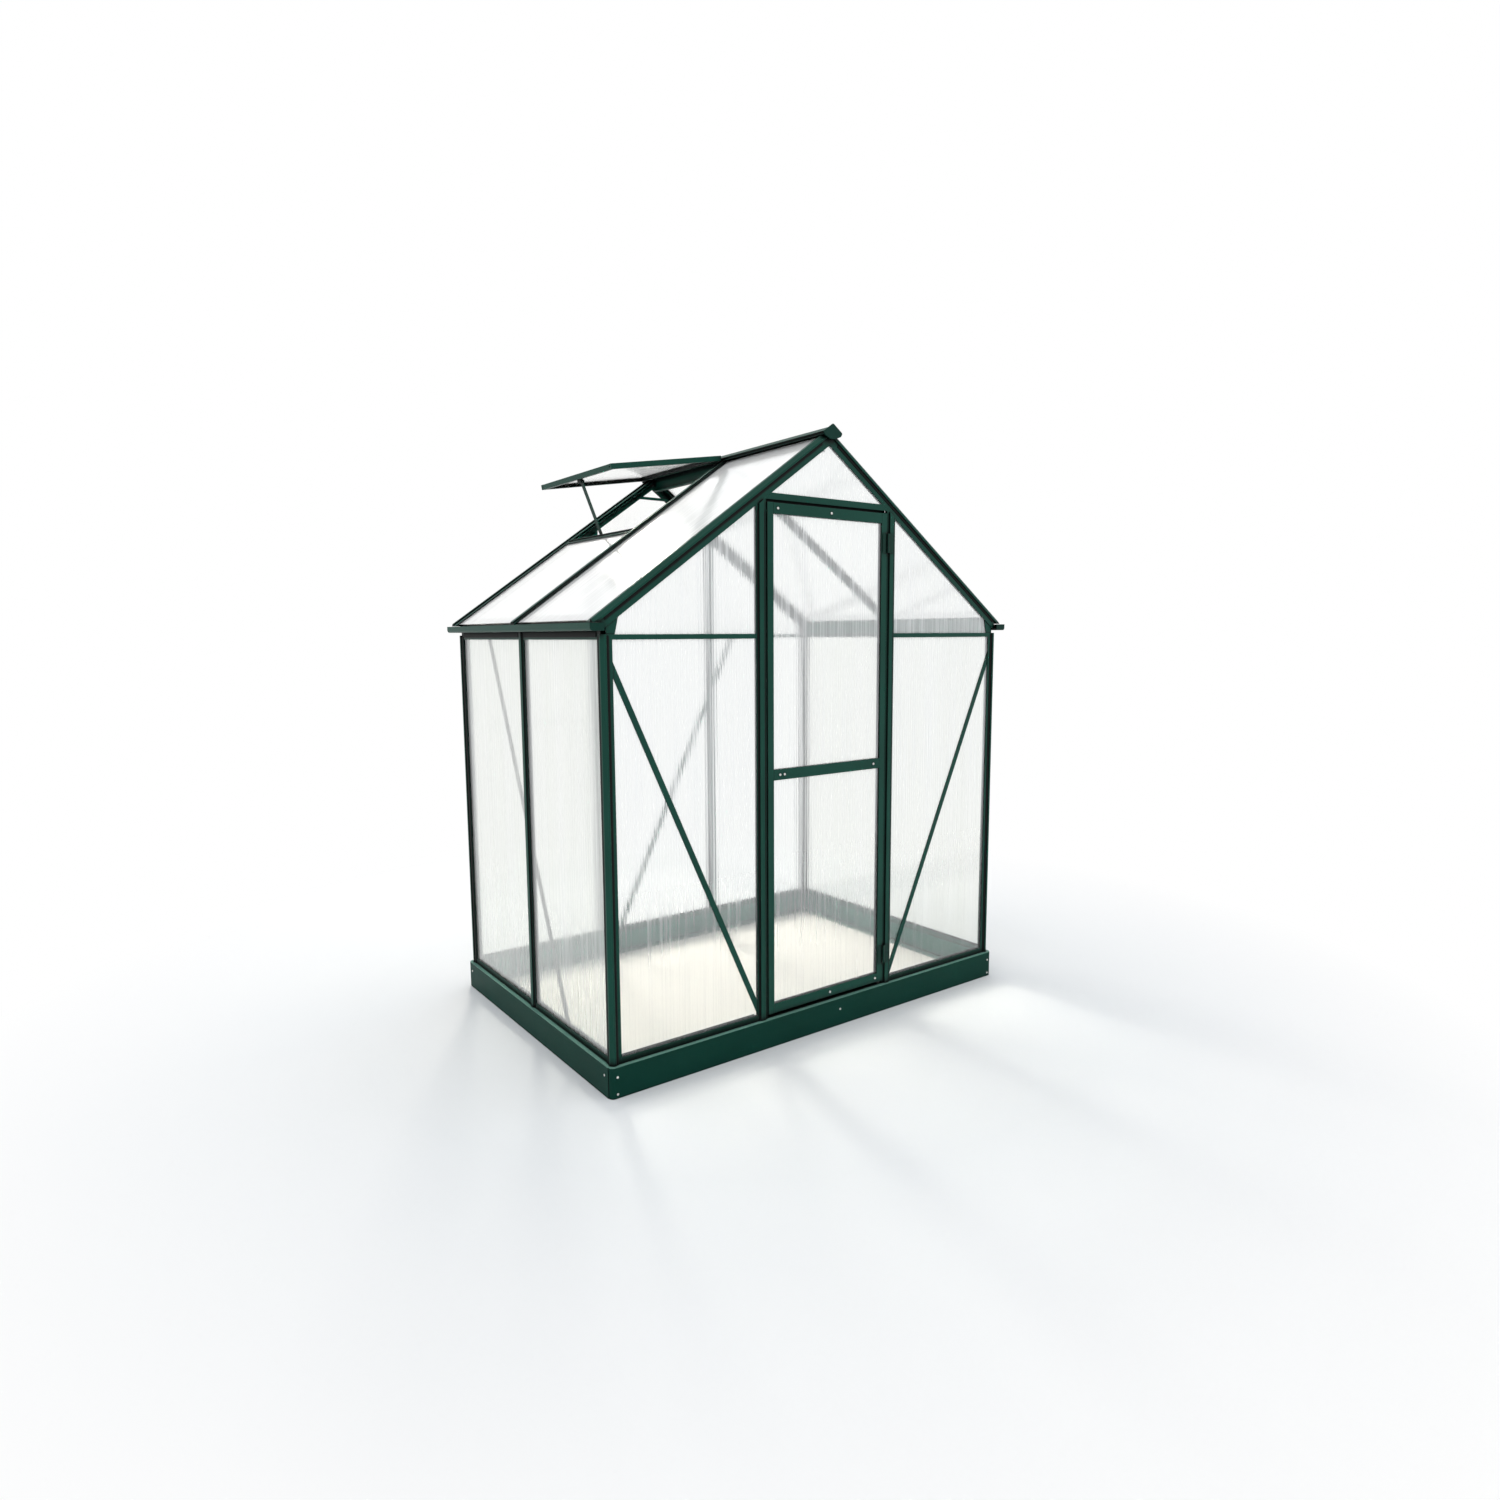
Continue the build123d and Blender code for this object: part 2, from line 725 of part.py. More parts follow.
with BuildPart() as gussets:
    add(flat_strip(front_plane, strip_back, gusset_outline))
    mirror(about=Plane.YZ)
    mirror(about=Plane.XZ)
    add(flat_strip(rear_plane, shelf_back + slip + strip_thickness, mirrored(ridge_tie_outline)))
save(gussets.part, "gussets")

# Braces: a pair in the front gable slots, one inside the left wall and one inside the rear gable
brace_head = (wall_x - front_brace_top_inset, eave_height - front_brace_top_drop)
brace_foot = (post_x + front_brace_foot_inset, base_height + front_brace_foot_rise)
brace_end = wall_x - corner_nose - metal - edge_play
with BuildPart() as braces_front:
    add(flat_strip(front_plane, strip_back, level_ended_strip(
        brace_foot, brace_head, base_height + metal + slip, eave_height - gusset_tail - slip)))
    split(bisect_by=Plane.YZ.offset(brace_end), keep=Keep.BOTTOM)
    split(bisect_by=Plane.YZ.offset(post_x + bar_web / 2 + metal), keep=Keep.TOP)
    mirror(about=Plane.YZ)
save(braces_front.part, "braces_front")

with BuildPart() as brace_left:
    add(flat_strip(left_plane, inner_strip_back, level_ended_strip(
        (side_brace_foot, base_height), (-side_brace_top, eave_height),
        base_height + slip, gutter_low, side_brace_width)))
save(brace_left.part, "brace_left")

with BuildPart() as brace_rear:
    add(flat_strip(rear_plane, inner_strip_back, level_ended_strip(
        (rear_brace_foot, base_height), (-rear_brace_top, eave_height),
        base_height + slip, eave_height + eave_lip)))
save(brace_rear.part, "brace_rear")

# Door frame: header with a stop behind the leaf, and threshold
header_top = roof_height(post_x - bar_half, rafter_leg) + header_tuck
header_low = header_top - header_lip
header_web = header_low + header_web_rise
leaf_top = header_low - header_gap
leaf_low = base_height + threshold_gap
stop_low = leaf_top - stop_overlap
header_outline = [
    (-nose_height, header_low),
    (-nose_height, header_top),
    (-slot_front, header_top),
    (-slot_front, header_web + metal),
    (-slot_back, header_web + metal),
    (-slot_back, header_top),
    (-shelf_back, header_top),
    (-shelf_back, header_web + metal),
    (-bar_depth, header_web + metal),
    (-bar_depth, stop_low),
    (metal - bar_depth, stop_low),
    (metal - bar_depth, header_web),
    (-slot_front, header_web),
    (-slot_front, header_low),
]
stop_outline = box_outline(-bar_depth, metal - bar_depth, stop_low, header_web + metal)
stop_length = 2 * (post_x - heel_width / 2 - joint_gap)
with BuildPart() as door_header:
    add(wall_channel(header_outline, (0, -1, 0), (0, -wall_y, 0), middle_bay))
    split(bisect_by=under_rafter(1), keep=Keep.BOTTOM)
    split(bisect_by=under_rafter(-1), keep=Keep.BOTTOM)
    add(wall_channel(stop_outline, (0, -1, 0), (0, -wall_y, 0), stop_length))
save(door_header.part, "door_header")

threshold_stop = threshold_gap + stop_overlap
threshold_outline = [
    (-nose_height, 0),
    (-nose_height, metal),
    (metal - bar_depth, metal),
    (metal - bar_depth, threshold_stop),
    (-bar_depth, threshold_stop),
    (-bar_depth, 0),
]
with BuildPart() as door_threshold:
    add(wall_channel(threshold_outline, (0, -1, 0), (0, -wall_y, base_height), middle_bay))
save(door_threshold.part, "door_threshold")

# Wall sheets
slot_low = base_height + metal + edge_play
slot_high = eave_height + tie_low - edge_play
above_tie = eave_height + tie_high + edge_play
corner_edge = corner_nose + edge_play
bar_edge = bar_web / 2 + edge_play
under_eave = eave_height + eave_lip - edge_play
bay_inner = post_x + bar_edge
bay_outer = wall_x - corner_edge
centre_edge = post_x - bar_edge
rafter_edge = corner_nose + edge_play
gable_low = box_outline(bay_inner, bay_outer, slot_low, slot_high)
gable_high = [
    (bay_inner, above_tie),
    (bay_outer, above_tie),
    (bay_outer, roof_height(bay_outer, rafter_edge)),
    (bay_inner, roof_height(bay_inner, rafter_edge)),
]


def apex_sheet(low):
    """Outline of the middle gable sheet from a level up to the ridge."""
    return [
        (-centre_edge, low),
        (centre_edge, low),
        (centre_edge, roof_height(centre_edge, rafter_edge)),
        (0, roof_height(0, rafter_edge)),
        (-centre_edge, roof_height(centre_edge, rafter_edge)),
    ]


with BuildPart() as sheets_left:
    add(twin_wall(left_plane, box_outline(bar_edge, wall_y - corner_edge, slot_low, under_eave)))
    mirror(about=Plane.XZ)
save(sheets_left.part, "sheets_left")

with BuildPart() as sheets_right:
    mirror(sheets_left.part, about=Plane.YZ)
save(sheets_right.part, "sheets_right")

with BuildPart() as sheets_front_low:
    add(twin_wall(front_plane, gable_low))
    mirror(about=Plane.YZ)
save(sheets_front_low.part, "sheets_front_low")

with BuildPart() as sheets_front_high:
    add(twin_wall(front_plane, gable_high))
    mirror(about=Plane.YZ)
save(sheets_front_high.part, "sheets_front_high")

with BuildPart() as sheet_front_apex:
    add(twin_wall(front_plane, apex_sheet(header_web + metal + edge_play)))
save(sheet_front_apex.part, "sheet_front_apex")

with BuildPart() as sheets_rear_low:
    add(twin_wall(rear_plane, gable_low))
    mirror(about=Plane.YZ)
    add(twin_wall(rear_plane, box_outline(-centre_edge, centre_edge, slot_low, slot_high)))
save(sheets_rear_low.part, "sheets_rear_low")

with BuildPart() as sheets_rear_high:
    add(twin_wall(rear_plane, gable_high))
    mirror(about=Plane.YZ)
save(sheets_rear_high.part, "sheets_rear_high")

with BuildPart() as sheet_rear_apex:
    add(twin_wall(rear_plane, apex_sheet(above_tie)))
save(sheet_rear_apex.part, "sheet_rear_apex")

# Roof sheets; the rear bay of the left slope stops at the vent cill
roof_bay_end = wall_y - corner_edge
sheet_low_edge = (wall_x + sheet_tip) / cos(pitch)
cill_line = hinge_down_slope + vent_length - cill_under_vent
cill_sheet_edge = cill_line + metal + edge_play
full_bay = box_outline(-roof_bay_end, -bar_edge, roof_sheet_top, sheet_low_edge)
vent_bay = box_outline(bar_edge, roof_bay_end, cill_sheet_edge, sheet_low_edge)

with BuildPart() as roof_sheet_left_front:
    add(twin_wall(left_roof, full_bay))
save(roof_sheet_left_front.part, "roof_sheet_left_front")

with BuildPart() as roof_sheet_left_rear:
    add(twin_wall(left_roof, vent_bay))
save(roof_sheet_left_rear.part, "roof_sheet_left_rear")

with BuildPart() as roof_sheets_right:
    mirror(roof_sheet_left_front.part, about=Plane.YZ)
    mirror(about=Plane.XZ)
save(roof_sheets_right.part, "roof_sheets_right")

# Door leaf
leaf_half = post_x - bar_half - door_gap
leaf_height = leaf_top - leaf_low
middle_rail_low = leaf_low + leaf_height * middle_rail_share - middle_rail / 2
groove_half = sheet_thickness / 2 + slip
leaf_middle = -door_set_back - door_depth / 2
leaf_back = -door_set_back - door_depth
rail_length = 2 * (leaf_half - stile_width)


def leaf_frame_outline(width):
    """Hollow door profile, from its outer edge inward, with the broken front edges."""
    front = -door_set_back
    return [
        (0, leaf_back),
        (width, leaf_back),
        (width, front - edge_break),
        (width - edge_break, front),
        (edge_break, front),
        (0, front - edge_break),
    ]


for name, side in (("door_stile_left", -1), ("door_stile_right", 1)):
    chamber_end = stile_width - leaf_groove - metal
    corner = Plane((-leaf_half, -wall_y, leaf_low), x_dir=(1, 0, 0), z_dir=(0, 0, 1))
    with BuildPart() as stile:
        with BuildSketch(corner):
            outline = leaf_frame_outline(stile_width)
            Polygon(*[(across, -out) for across, out in outline])
            groove_box = box_outline(stile_width - leaf_groove, stile_width,
                                     -leaf_middle - groove_half, -leaf_middle + groove_half)
            Polygon(*groove_box, mode=Mode.SUBTRACT)
            chamber_box = box_outline(metal, chamber_end, door_set_back + metal, -leaf_back - metal)
            Polygon(*chamber_box, mode=Mode.SUBTRACT)
        extrude(amount=leaf_height)
        if side > 0:
            mirror(about=Plane.YZ, mode=Mode.REPLACE)
    save(stile.part, name)

rails = {
    "door_rail_top": (leaf_top - top_rail, top_rail, True, False),
    "door_rail_middle": (middle_rail_low, middle_rail, True, True),
    "door_rail_bottom": (leaf_low, bottom_rail, False, True),
}
for name, (low, height, groove_below, groove_above) in rails.items():
    chamber_low = leaf_groove + metal if groove_below else metal
    chamber_high = height - leaf_groove - metal if groove_above else height - metal
    groove_sides = (leaf_middle - groove_half, leaf_middle + groove_half)
    with BuildPart() as rail:
        with BuildSketch(Plane((0, -wall_y, low), x_dir=(0, -1, 0), z_dir=(-1, 0, 0))):
            Polygon(*[(out, along) for along, out in leaf_frame_outline(height)])
            chamber_box = box_outline(leaf_back + metal, -door_set_back - metal, chamber_low, chamber_high)
            Polygon(*chamber_box, mode=Mode.SUBTRACT)
            if groove_below:
                Polygon(*box_outline(*groove_sides, 0, leaf_groove), mode=Mode.SUBTRACT)
            if groove_above:
                Polygon(*box_outline(*groove_sides, height - leaf_groove, height), mode=Mode.SUBTRACT)
        extrude(amount=rail_length / 2, both=True)
    save(rail.part, name)

sheet_half = leaf_half - stile_width + leaf_groove - edge_play / 2
sheet_inset = leaf_groove - edge_play / 2
lower_bay = (leaf_low + bottom_rail - sheet_inset, middle_rail_low + sheet_inset)
upper_bay = (middle_rail_low + middle_rail - sheet_inset, leaf_top - top_rail + sheet_inset)
with BuildPart() as door_sheets:
    leaf_outer = front_plane.offset(sheet_back + leaf_middle - sheet_thickness / 2)
    add(twin_wall(leaf_outer, box_outline(-sheet_half, sheet_half, *lower_bay)))
    add(twin_wall(leaf_outer, box_outline(-sheet_half, sheet_half, *upper_bay)))
save(door_sheets.part, "door_sheets")

# Door hinges: the jamb keeps two knuckles of each hinge and the pin, the leaf has the one between
hinge_x = leaf_half + door_gap / 2
hinge_heights = (leaf_low + hinge_inset, leaf_top - hinge_inset)
knuckle_room = knuckle_radius + slip
jamb_plate_face = -wall_y - hinge_plate / 2
door_plate_face = -wall_y + door_set_back - hinge_plate / 2
hinge_y = -wall_y - hinge_forward
jamb_knuckle = (hinge_length - door_knuckle) / 2 - slip
jamb_knuckle_middle = (hinge_length - jamb_knuckle) / 2

with BuildPart() as hinge_door_leaves:
    for height in hinge_heights:
        with Locations((hinge_x - hinge_door_reach / 2, door_plate_face, height)):
            Box(hinge_door_reach, hinge_plate, hinge_length)
        for shift in (-jamb_knuckle_middle, jamb_knuckle_middle):
            with Locations((hinge_x, hinge_y, height + shift)):
                Cylinder(knuckle_room, jamb_knuckle + 2 * slip, mode=Mode.SUBTRACT)
        with Locations((hinge_x, hinge_y, height)):
            Cylinder(knuckle_radius, door_knuckle)
            Cylinder(hinge_pin_radius + pin_clearance, hinge_length, mode=Mode.SUBTRACT)
save(hinge_door_leaves.part, "hinge_door_leaves")

with BuildPart() as hinge_jamb_leaves:
    for height in hinge_heights:
        with Locations((hinge_x + hinge_jamb_reach / 2, jamb_plate_face, height)):
            Box(hinge_jamb_reach, hinge_plate, hinge_length)
        with Locations((hinge_x, hinge_y, height)):
            Cylinder(knuckle_room, door_knuckle + 2 * slip, mode=Mode.SUBTRACT)
        for shift in (-jamb_knuckle_middle, jamb_knuckle_middle):
            with Locations((hinge_x, hinge_y, height + shift)):
                Cylinder(knuckle_radius, jamb_knuckle)
        with Locations((hinge_x, hinge_y, height)):
            Cylinder(hinge_pin_radius + pin_clearance, hinge_length, mode=Mode.SUBTRACT)
            Cylinder(hinge_pin_radius, hinge_length)
save(hinge_jamb_leaves.part, "hinge_jamb_leaves")

# Magnetic catch: magnet on the header's stop, steel strike on the leaf
strike_face = leaf_back - strike_thickness
magnet_thickness = bar_depth - metal + strike_face - magnet_gap
magnet_low = stop_low + slip
with BuildPart() as door_magnet:
    with BuildSketch(front_plane.offset(metal - bar_depth)):
        Polygon(*box_outline(-magnet_length / 2, magnet_length / 2, magnet_low, magnet_low + magnet_height))
    extrude(amount=magnet_thickness)
save(door_magnet.part, "door_magnet")

with BuildPart() as door_strike:
    with BuildSketch(front_plane.offset(strike_face)):
        Polygon(*box_outline(-magnet_length / 2, magnet_length / 2, magnet_low, magnet_low + magnet_height))
    extrude(amount=strike_thickness)
save(door_strike.part, "door_strike")

# Vent cill between the middle roof bar and the rear rafter, drawn as (down the slope, out of it)
cill_outline = [
    (cill_line, -cill_top_gap),
    (cill_line + metal, -cill_top_gap),
    (cill_line + metal, -nose_height),
    (cill_line + cill_lip, -nose_height),
    (cill_line + cill_lip, -slot_front),
    (cill_line + metal, -slot_front),
    (cill_line + metal, -slot_back),
    (cill_line + cill_lip, -slot_back),
    (cill_line + cill_lip, -shelf_back),
    (cill_line + metal, -shelf_back),
    (cill_line + metal, metal - bar_depth),
    (cill_line + cill_heel, metal - bar_depth),
    (cill_line + cill_heel, -bar_depth),
    (cill_line, -bar_depth),
]
cill_near = bar_half
cill_far = wall_y - rafter_leg
slope_section = Plane((0, 0, ridge_height), x_dir=slope_down, z_dir=(0, 1, 0))
with BuildPart() as vent_cill:
    with BuildSketch(slope_section.offset(cill_near)):
        Polygon(*cill_outline)
    extrude(amount=cill_far - cill_near)
save(vent_cill.part, "vent_cill")

# Vent, drawn from its hinge line as (along the vent, out of it) and set open on its stay
opening = radians(vent_open)
vent_along = slope_down * cos(opening) + slope_out * sin(opening)
vent_out = slope_out * cos(opening) - slope_down * sin(opening)
hinge_point = Vector(-hinge_right[0], 0, hinge_right[1])
vent_near = -vent_overlap
vent_far = wall_y - corner_nose + vent_overlap
vent_middle = (vent_near + vent_far) / 2
vent_low = vent_clearance - hinge_rise
vent_high = vent_low + vent_thickness
vent_slot_low = (vent_low + vent_high) / 2 - groove_half
vent_slot_high = (vent_low + vent_high) / 2 + groove_half
vent_section = Plane(hinge_point, x_dir=vent_along, z_dir=(0, 1, 0))
vent_inner_end = vent_length - vent_rail
rail_near = vent_near + vent_rail
rail_far = vent_far - vent_rail


def vent_rail_outline(outer, inner):
    """Vent rail section between its outer and inner edge, grooved for the sheet, top edge broken."""
    step = vent_groove if outer > inner else -vent_groove
    nick = edge_break if outer > inner else -edge_break
    return [
        (outer, vent_low),
        (outer, vent_high - edge_break),
        (outer - nick, vent_high),
        (inner, vent_high),
        (inner, vent_slot_high),
        (inner + step, vent_slot_high),
        (inner + step, vent_slot_low),
        (inner, vent_slot_low),
        (inner, vent_low),
    ]


with BuildPart() as vent_top_rail:
    with BuildSketch(vent_section.offset(rail_near)):
        Polygon(*vent_rail_outline(vent_start, vent_start + vent_rail))
        Polygon(*box_outline(0, vent_start, -bulb_neck / 2, bulb_neck / 2))
        Circle(bulb_radius)
    extrude(amount=rail_far - rail_near)
save(vent_top_rail.part, "vent_top_rail")

with BuildPart() as vent_bottom_rail:
    with BuildSketch(vent_section.offset(rail_near)):
        Polygon(*vent_rail_outline(vent_length, vent_inner_end))
    extrude(amount=rail_far - rail_near)
save(vent_bottom_rail.part, "vent_bottom_rail")

side_rail_start = hinge_point + vent_along * vent_start
with BuildPart() as vent_side_rails:
    with BuildSketch(Plane(side_rail_start, x_dir=(0, -1, 0), z_dir=vent_along)):
        Polygon(*vent_rail_outline(-vent_near, -rail_near))
    extrude(amount=vent_length - vent_start)
    mirror(about=Plane.XZ.offset(-vent_middle))
save(vent_side_rails.part, "vent_side_rails")

vent_sheet_inset = vent_rail - vent_groove + edge_play / 2
vent_face = Plane(hinge_point, x_dir=(0, 1, 0), z_dir=vent_out)
vent_sheet_plane = vent_face.offset(sheet_back + (vent_low + vent_high) / 2 - sheet_thickness / 2)
with BuildPart() as vent_sheet:
    add(twin_wall(vent_sheet_plane, box_outline(
        vent_near + vent_sheet_inset, vent_far - vent_sheet_inset,
        vent_start + vent_sheet_inset, vent_length - vent_sheet_inset)))
save(vent_sheet.part, "vent_sheet")

# Stay: pivots under the vent's bottom rail and drops over a peg on the cill
pivot_along = vent_length - stay_pivot_inset
pivot = hinge_point + vent_along * pivot_along - vent_out * stay_pivot_drop
peg_place = Vector(0, 0, ridge_height) + slope_down * (cill_line - peg_from_cill) - slope_out * peg_depth
stay_line = (peg_place - pivot).normalized()
stay_length = (peg_place - pivot).length
stay_face = stay_line.cross(Vector(0, 1, 0))
stay_section = Plane(pivot, x_dir=stay_line, z_dir=(0, 1, 0)).offset(vent_middle)
stay_half = strip_thickness / 2
eye_bore = hinge_pin_radius + pin_clearance
slot_length = stay_slot_above + stay_slot_below
slot_place = stay_length + (stay_slot_below - stay_slot_above) / 2
stay_flat = Plane(pivot + Vector(0, vent_middle, 0), x_dir=stay_line, z_dir=stay_face)

with BuildPart() as stay_arm:
    with BuildSketch(stay_section):
        Polygon(*box_outline(0, stay_length + stay_tail, -stay_half, stay_half))
        Circle(stay_eye_radius)
        Circle(eye_bore, mode=Mode.SUBTRACT)
    extrude(amount=stay_width / 2, both=True)
    with BuildSketch(stay_flat):
        with Locations((slot_place, 0)):
            SlotOverall(slot_length, stay_slot_width)
    extrude(amount=strip_thickness, both=True, mode=Mode.SUBTRACT)
save(stay_arm.part, "stay_arm")

ear_near = stay_width / 2 + slip
ear_span = ear_near + ear_thickness
bracket_plate = vent_inner_end - metal
pivot_section = vent_section.offset(vent_middle)
with BuildPart() as stay_bracket:
    with BuildSketch(pivot_section):
        Polygon(*box_outline(pivot_along, vent_inner_end, -stay_pivot_drop - ear_radius, vent_slot_low - slip))
        with Locations((pivot_along, -stay_pivot_drop)):
            Circle(ear_radius)
    extrude(amount=ear_span, both=True)
    with BuildSketch(pivot_section):
        Polygon(*box_outline(pivot_along - 2 * ear_radius, bracket_plate,
                             -stay_pivot_drop - 2 * ear_radius, vent_high))
    extrude(amount=ear_near, both=True, mode=Mode.SUBTRACT)
    with BuildSketch(pivot_section):
        with Locations((pivot_along, -stay_pivot_drop)):
            Circle(eye_bore)
    extrude(amount=ear_span, both=True, mode=Mode.SUBTRACT)
    with BuildSketch(pivot_section):
        with Locations((pivot_along, -stay_pivot_drop)):
            Circle(hinge_pin_radius)
    extrude(amount=ear_span + metal, both=True)
save(stay_bracket.part, "stay_bracket")

# Stay catch: a wedge on the cill whose face lies along the stay, with the peg square to it
stay_turn = atan2(stay_line.dot(slope_out), stay_line.dot(slope_down))
away = (sin(stay_turn), -cos(stay_turn))
ahead = (cos(stay_turn), sin(stay_turn))
peg_at = (cill_line - peg_from_cill, -peg_depth)
face_back = stay_half + joint_gap


def on_catch(along, out):
    """Point by the peg, along the stay and out from the stay's middle plane."""
    down = peg_at[0] + along * ahead[0] + out * away[0]
    rise = peg_at[1] + along * ahead[1] + out * away[1]
    return (down, rise)


face_low = on_catch(catch_half_height, -face_back)
face_high = on_catch(-catch_half_height, -face_back)
peg_root = on_catch(0, -face_back)
peg_length = face_back + stay_half + peg_end
peg_origin = slope_section.from_local_coords((peg_root[0], peg_root[1], vent_middle))
peg_way = slope_down * away[0] + slope_out * away[1]
with BuildPart() as stay_catch:
    with BuildSketch(slope_section.offset(vent_middle)):
        Polygon((cill_line, face_high[1]), face_high, face_low, (cill_line, face_low[1]))
    extrude(amount=catch_half_width, both=True)
    with BuildSketch(Plane(peg_origin, x_dir=(0, 1, 0), z_dir=peg_way)):
        Circle(peg_radius)
    extrude(amount=peg_length)
save(stay_catch.part, "stay_catch")
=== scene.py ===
"""Looks of a walk-in greenhouse: powder coat, fluted twin-wall sheets, fasteners, dark lip strips and a pale
studio.
"""

import json
import logging
import math
from dataclasses import dataclass
from enum import Enum

import bpy
from mathutils import Matrix, Vector


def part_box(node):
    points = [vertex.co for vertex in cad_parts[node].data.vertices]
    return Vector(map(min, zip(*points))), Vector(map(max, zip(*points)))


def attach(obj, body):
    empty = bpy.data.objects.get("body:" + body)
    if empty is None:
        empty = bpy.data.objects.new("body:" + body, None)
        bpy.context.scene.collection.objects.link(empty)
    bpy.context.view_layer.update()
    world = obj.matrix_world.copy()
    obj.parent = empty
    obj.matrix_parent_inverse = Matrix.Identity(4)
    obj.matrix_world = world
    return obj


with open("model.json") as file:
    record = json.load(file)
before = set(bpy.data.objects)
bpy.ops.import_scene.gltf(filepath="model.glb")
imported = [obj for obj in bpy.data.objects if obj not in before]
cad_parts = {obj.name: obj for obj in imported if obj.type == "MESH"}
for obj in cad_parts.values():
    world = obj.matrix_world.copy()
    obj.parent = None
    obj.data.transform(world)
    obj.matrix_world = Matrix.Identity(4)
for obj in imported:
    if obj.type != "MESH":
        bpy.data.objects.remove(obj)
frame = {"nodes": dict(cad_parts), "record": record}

log = logging.getLogger("greenhouse")

Colour = tuple[float, float, float]
Point = tuple[float, float, float]
Span = tuple[float, float]
Socket = bpy.types.NodeSocket
Run = tuple[Vector, Vector, Vector]

LIGHT_BOUNCES = 32
SMOOTH_ANGLE = math.radians(35.0)


class FluteAxis(Enum):
    """Row axis that a sheet's flutes are counted along; the flutes themselves run square to it."""

    ALONG_X = "X"
    ALONG_Y = "Y"


class Facing(Enum):
    """Outward direction of a face that carries fasteners."""

    FRONT = (0.0, -1.0, 0.0)
    REAR = (0.0, 1.0, 0.0)
    LEFT = (-1.0, 0.0, 0.0)
    RIGHT = (1.0, 0.0, 0.0)


class Graph:
    """Small helper that grows one node tree from left to right."""

    def __init__(self, owner: bpy.types.Material | bpy.types.World) -> None:
        """Clear the tree down to a lone output node.

        Args:
            owner: Material or world that the tree belongs to.
        """
        self.owner = owner
        owner.use_nodes = True
        self.tree = owner.node_tree
        self.tree.nodes.clear()
        is_world = isinstance(owner, bpy.types.World)
        self.output = self.tree.nodes.new("ShaderNodeOutputWorld" if is_world else "ShaderNodeOutputMaterial")
        self.output.location = (900, 0)
        self.column = -900

    def add(self, kind: str, **settings: object) -> bpy.types.Node:
        """Add one node and set its plain properties.

        Args:
            kind: Node type, as Blender names it.
            **settings: Properties of the node.

        Returns:
            The new node.
        """
        node = self.tree.nodes.new(kind)
        node.location = (self.column, 0)
        self.column += 120
        for key, value in settings.items():
            setattr(node, key, value)
        return node

    def link(self, source: Socket, target: Socket) -> None:
        """Join an output socket to an input socket."""
        self.tree.links.new(source, target)

    def place(self) -> Socket:
        """Return the Object coordinates of the piece."""
        return self.add("ShaderNodeTexCoord").outputs["Object"]

    def axes(self, vector: Socket) -> bpy.types.Node:
        """Split a vector into its axes.

        Args:
            vector: Vector to read.

        Returns:
            The node with the outputs X, Y and Z.
        """
        node = self.add("ShaderNodeSeparateXYZ")
        self.link(vector, node.inputs[0])
        return node

    def noise(self, vector: Socket, scale: float, detail: float = 2.0, roughness: float = 0.5) -> Socket:
        """Add a noise texture.

        Args:
            vector: Coordinates to read.
            scale: Features per metre.
            detail: Octaves.
            roughness: Weight of the finer octaves.

        Returns:
            The noise value, about 0 to 1.
        """
        node = self.add("ShaderNodeTexNoise")
        node.inputs["Scale"].default_value = scale
        node.inputs["Detail"].default_value = detail
        node.inputs["Roughness"].default_value = roughness
        self.link(vector, node.inputs["Vector"])
        return node.outputs["Fac"]

    def math(self, operation: str, first: Socket | float, second: Socket | float = 0.0) -> Socket:
        """Add a maths node on sockets or numbers.

        Args:
            operation: Blender's name of the operation.
            first: Socket or number.
            second: Socket or number.

        Returns:
            The result.
        """
        node = self.add("ShaderNodeMath", operation=operation)
        for slot, value in zip(node.inputs, (first, second)):
            if isinstance(value, Socket):
                self.link(value, slot)
            else:
                slot.default_value = float(value)
        return node.outputs[0]

    def remap(self, value: Socket, low: float, high: float, to_low: float, to_high: float) -> Socket:
        """Map a value from one range to another, clamped.

        Args:
            value: Socket to read.
            low: Start of the source range.
            high: End of the source range.
            to_low: Result at the start.
            to_high: Result at the end.

        Returns:
            The mapped value.
        """
        node = self.add("ShaderNodeMapRange")
        for name, number in (("From Min", low), ("From Max", high), ("To Min", to_low), ("To Max", to_high)):
            node.inputs[name].default_value = number
        self.link(value, node.inputs["Value"])
        return node.outputs["Result"]

    def spread(self, noise: Socket, low: float = 0.0, high: float = 1.0) -> Socket:
        """Stretch the range that a noise mostly stays in over the whole of another range."""
        return self.remap(noise, 0.3, 0.7, low, high)

    def blend(self, factor: Socket, first: Colour | Socket, second: Colour | Socket) -> Socket:
        """Blend two colours by a factor.

        Args:
            factor: 0 gives the first colour, 1 the second.
            first: Linear colour or socket.
            second: Linear colour or socket.

        Returns:
            The blended colour.
        """
        node = self.add("ShaderNodeMix", data_type="RGBA")
        self.link(factor, node.inputs[0])
        for slot, value in ((node.inputs[6], first), (node.inputs[7], second)):
            if isinstance(value, Socket):
                self.link(value, slot)
            else:
                slot.default_value = (*value, 1.0)
        return node.outputs[2]

    def bump(self, height: Socket, depth: float, normal: Socket | None = None) -> Socket:
        """Turn a height into a bent normal.

        Args:
            height: Height, in units of depth.
            depth: Depth of one unit, in metres.
            normal: Normal to start from, if not the surface's own.

        Returns:
            The normal.
        """
        node = self.add("ShaderNodeBump")
        node.inputs["Strength"].default_value = 1.0
        node.inputs["Distance"].default_value = depth
        self.link(height, node.inputs["Height"])
        if normal is not None:
            self.link(normal, node.inputs["Normal"])
        return node.outputs["Normal"]

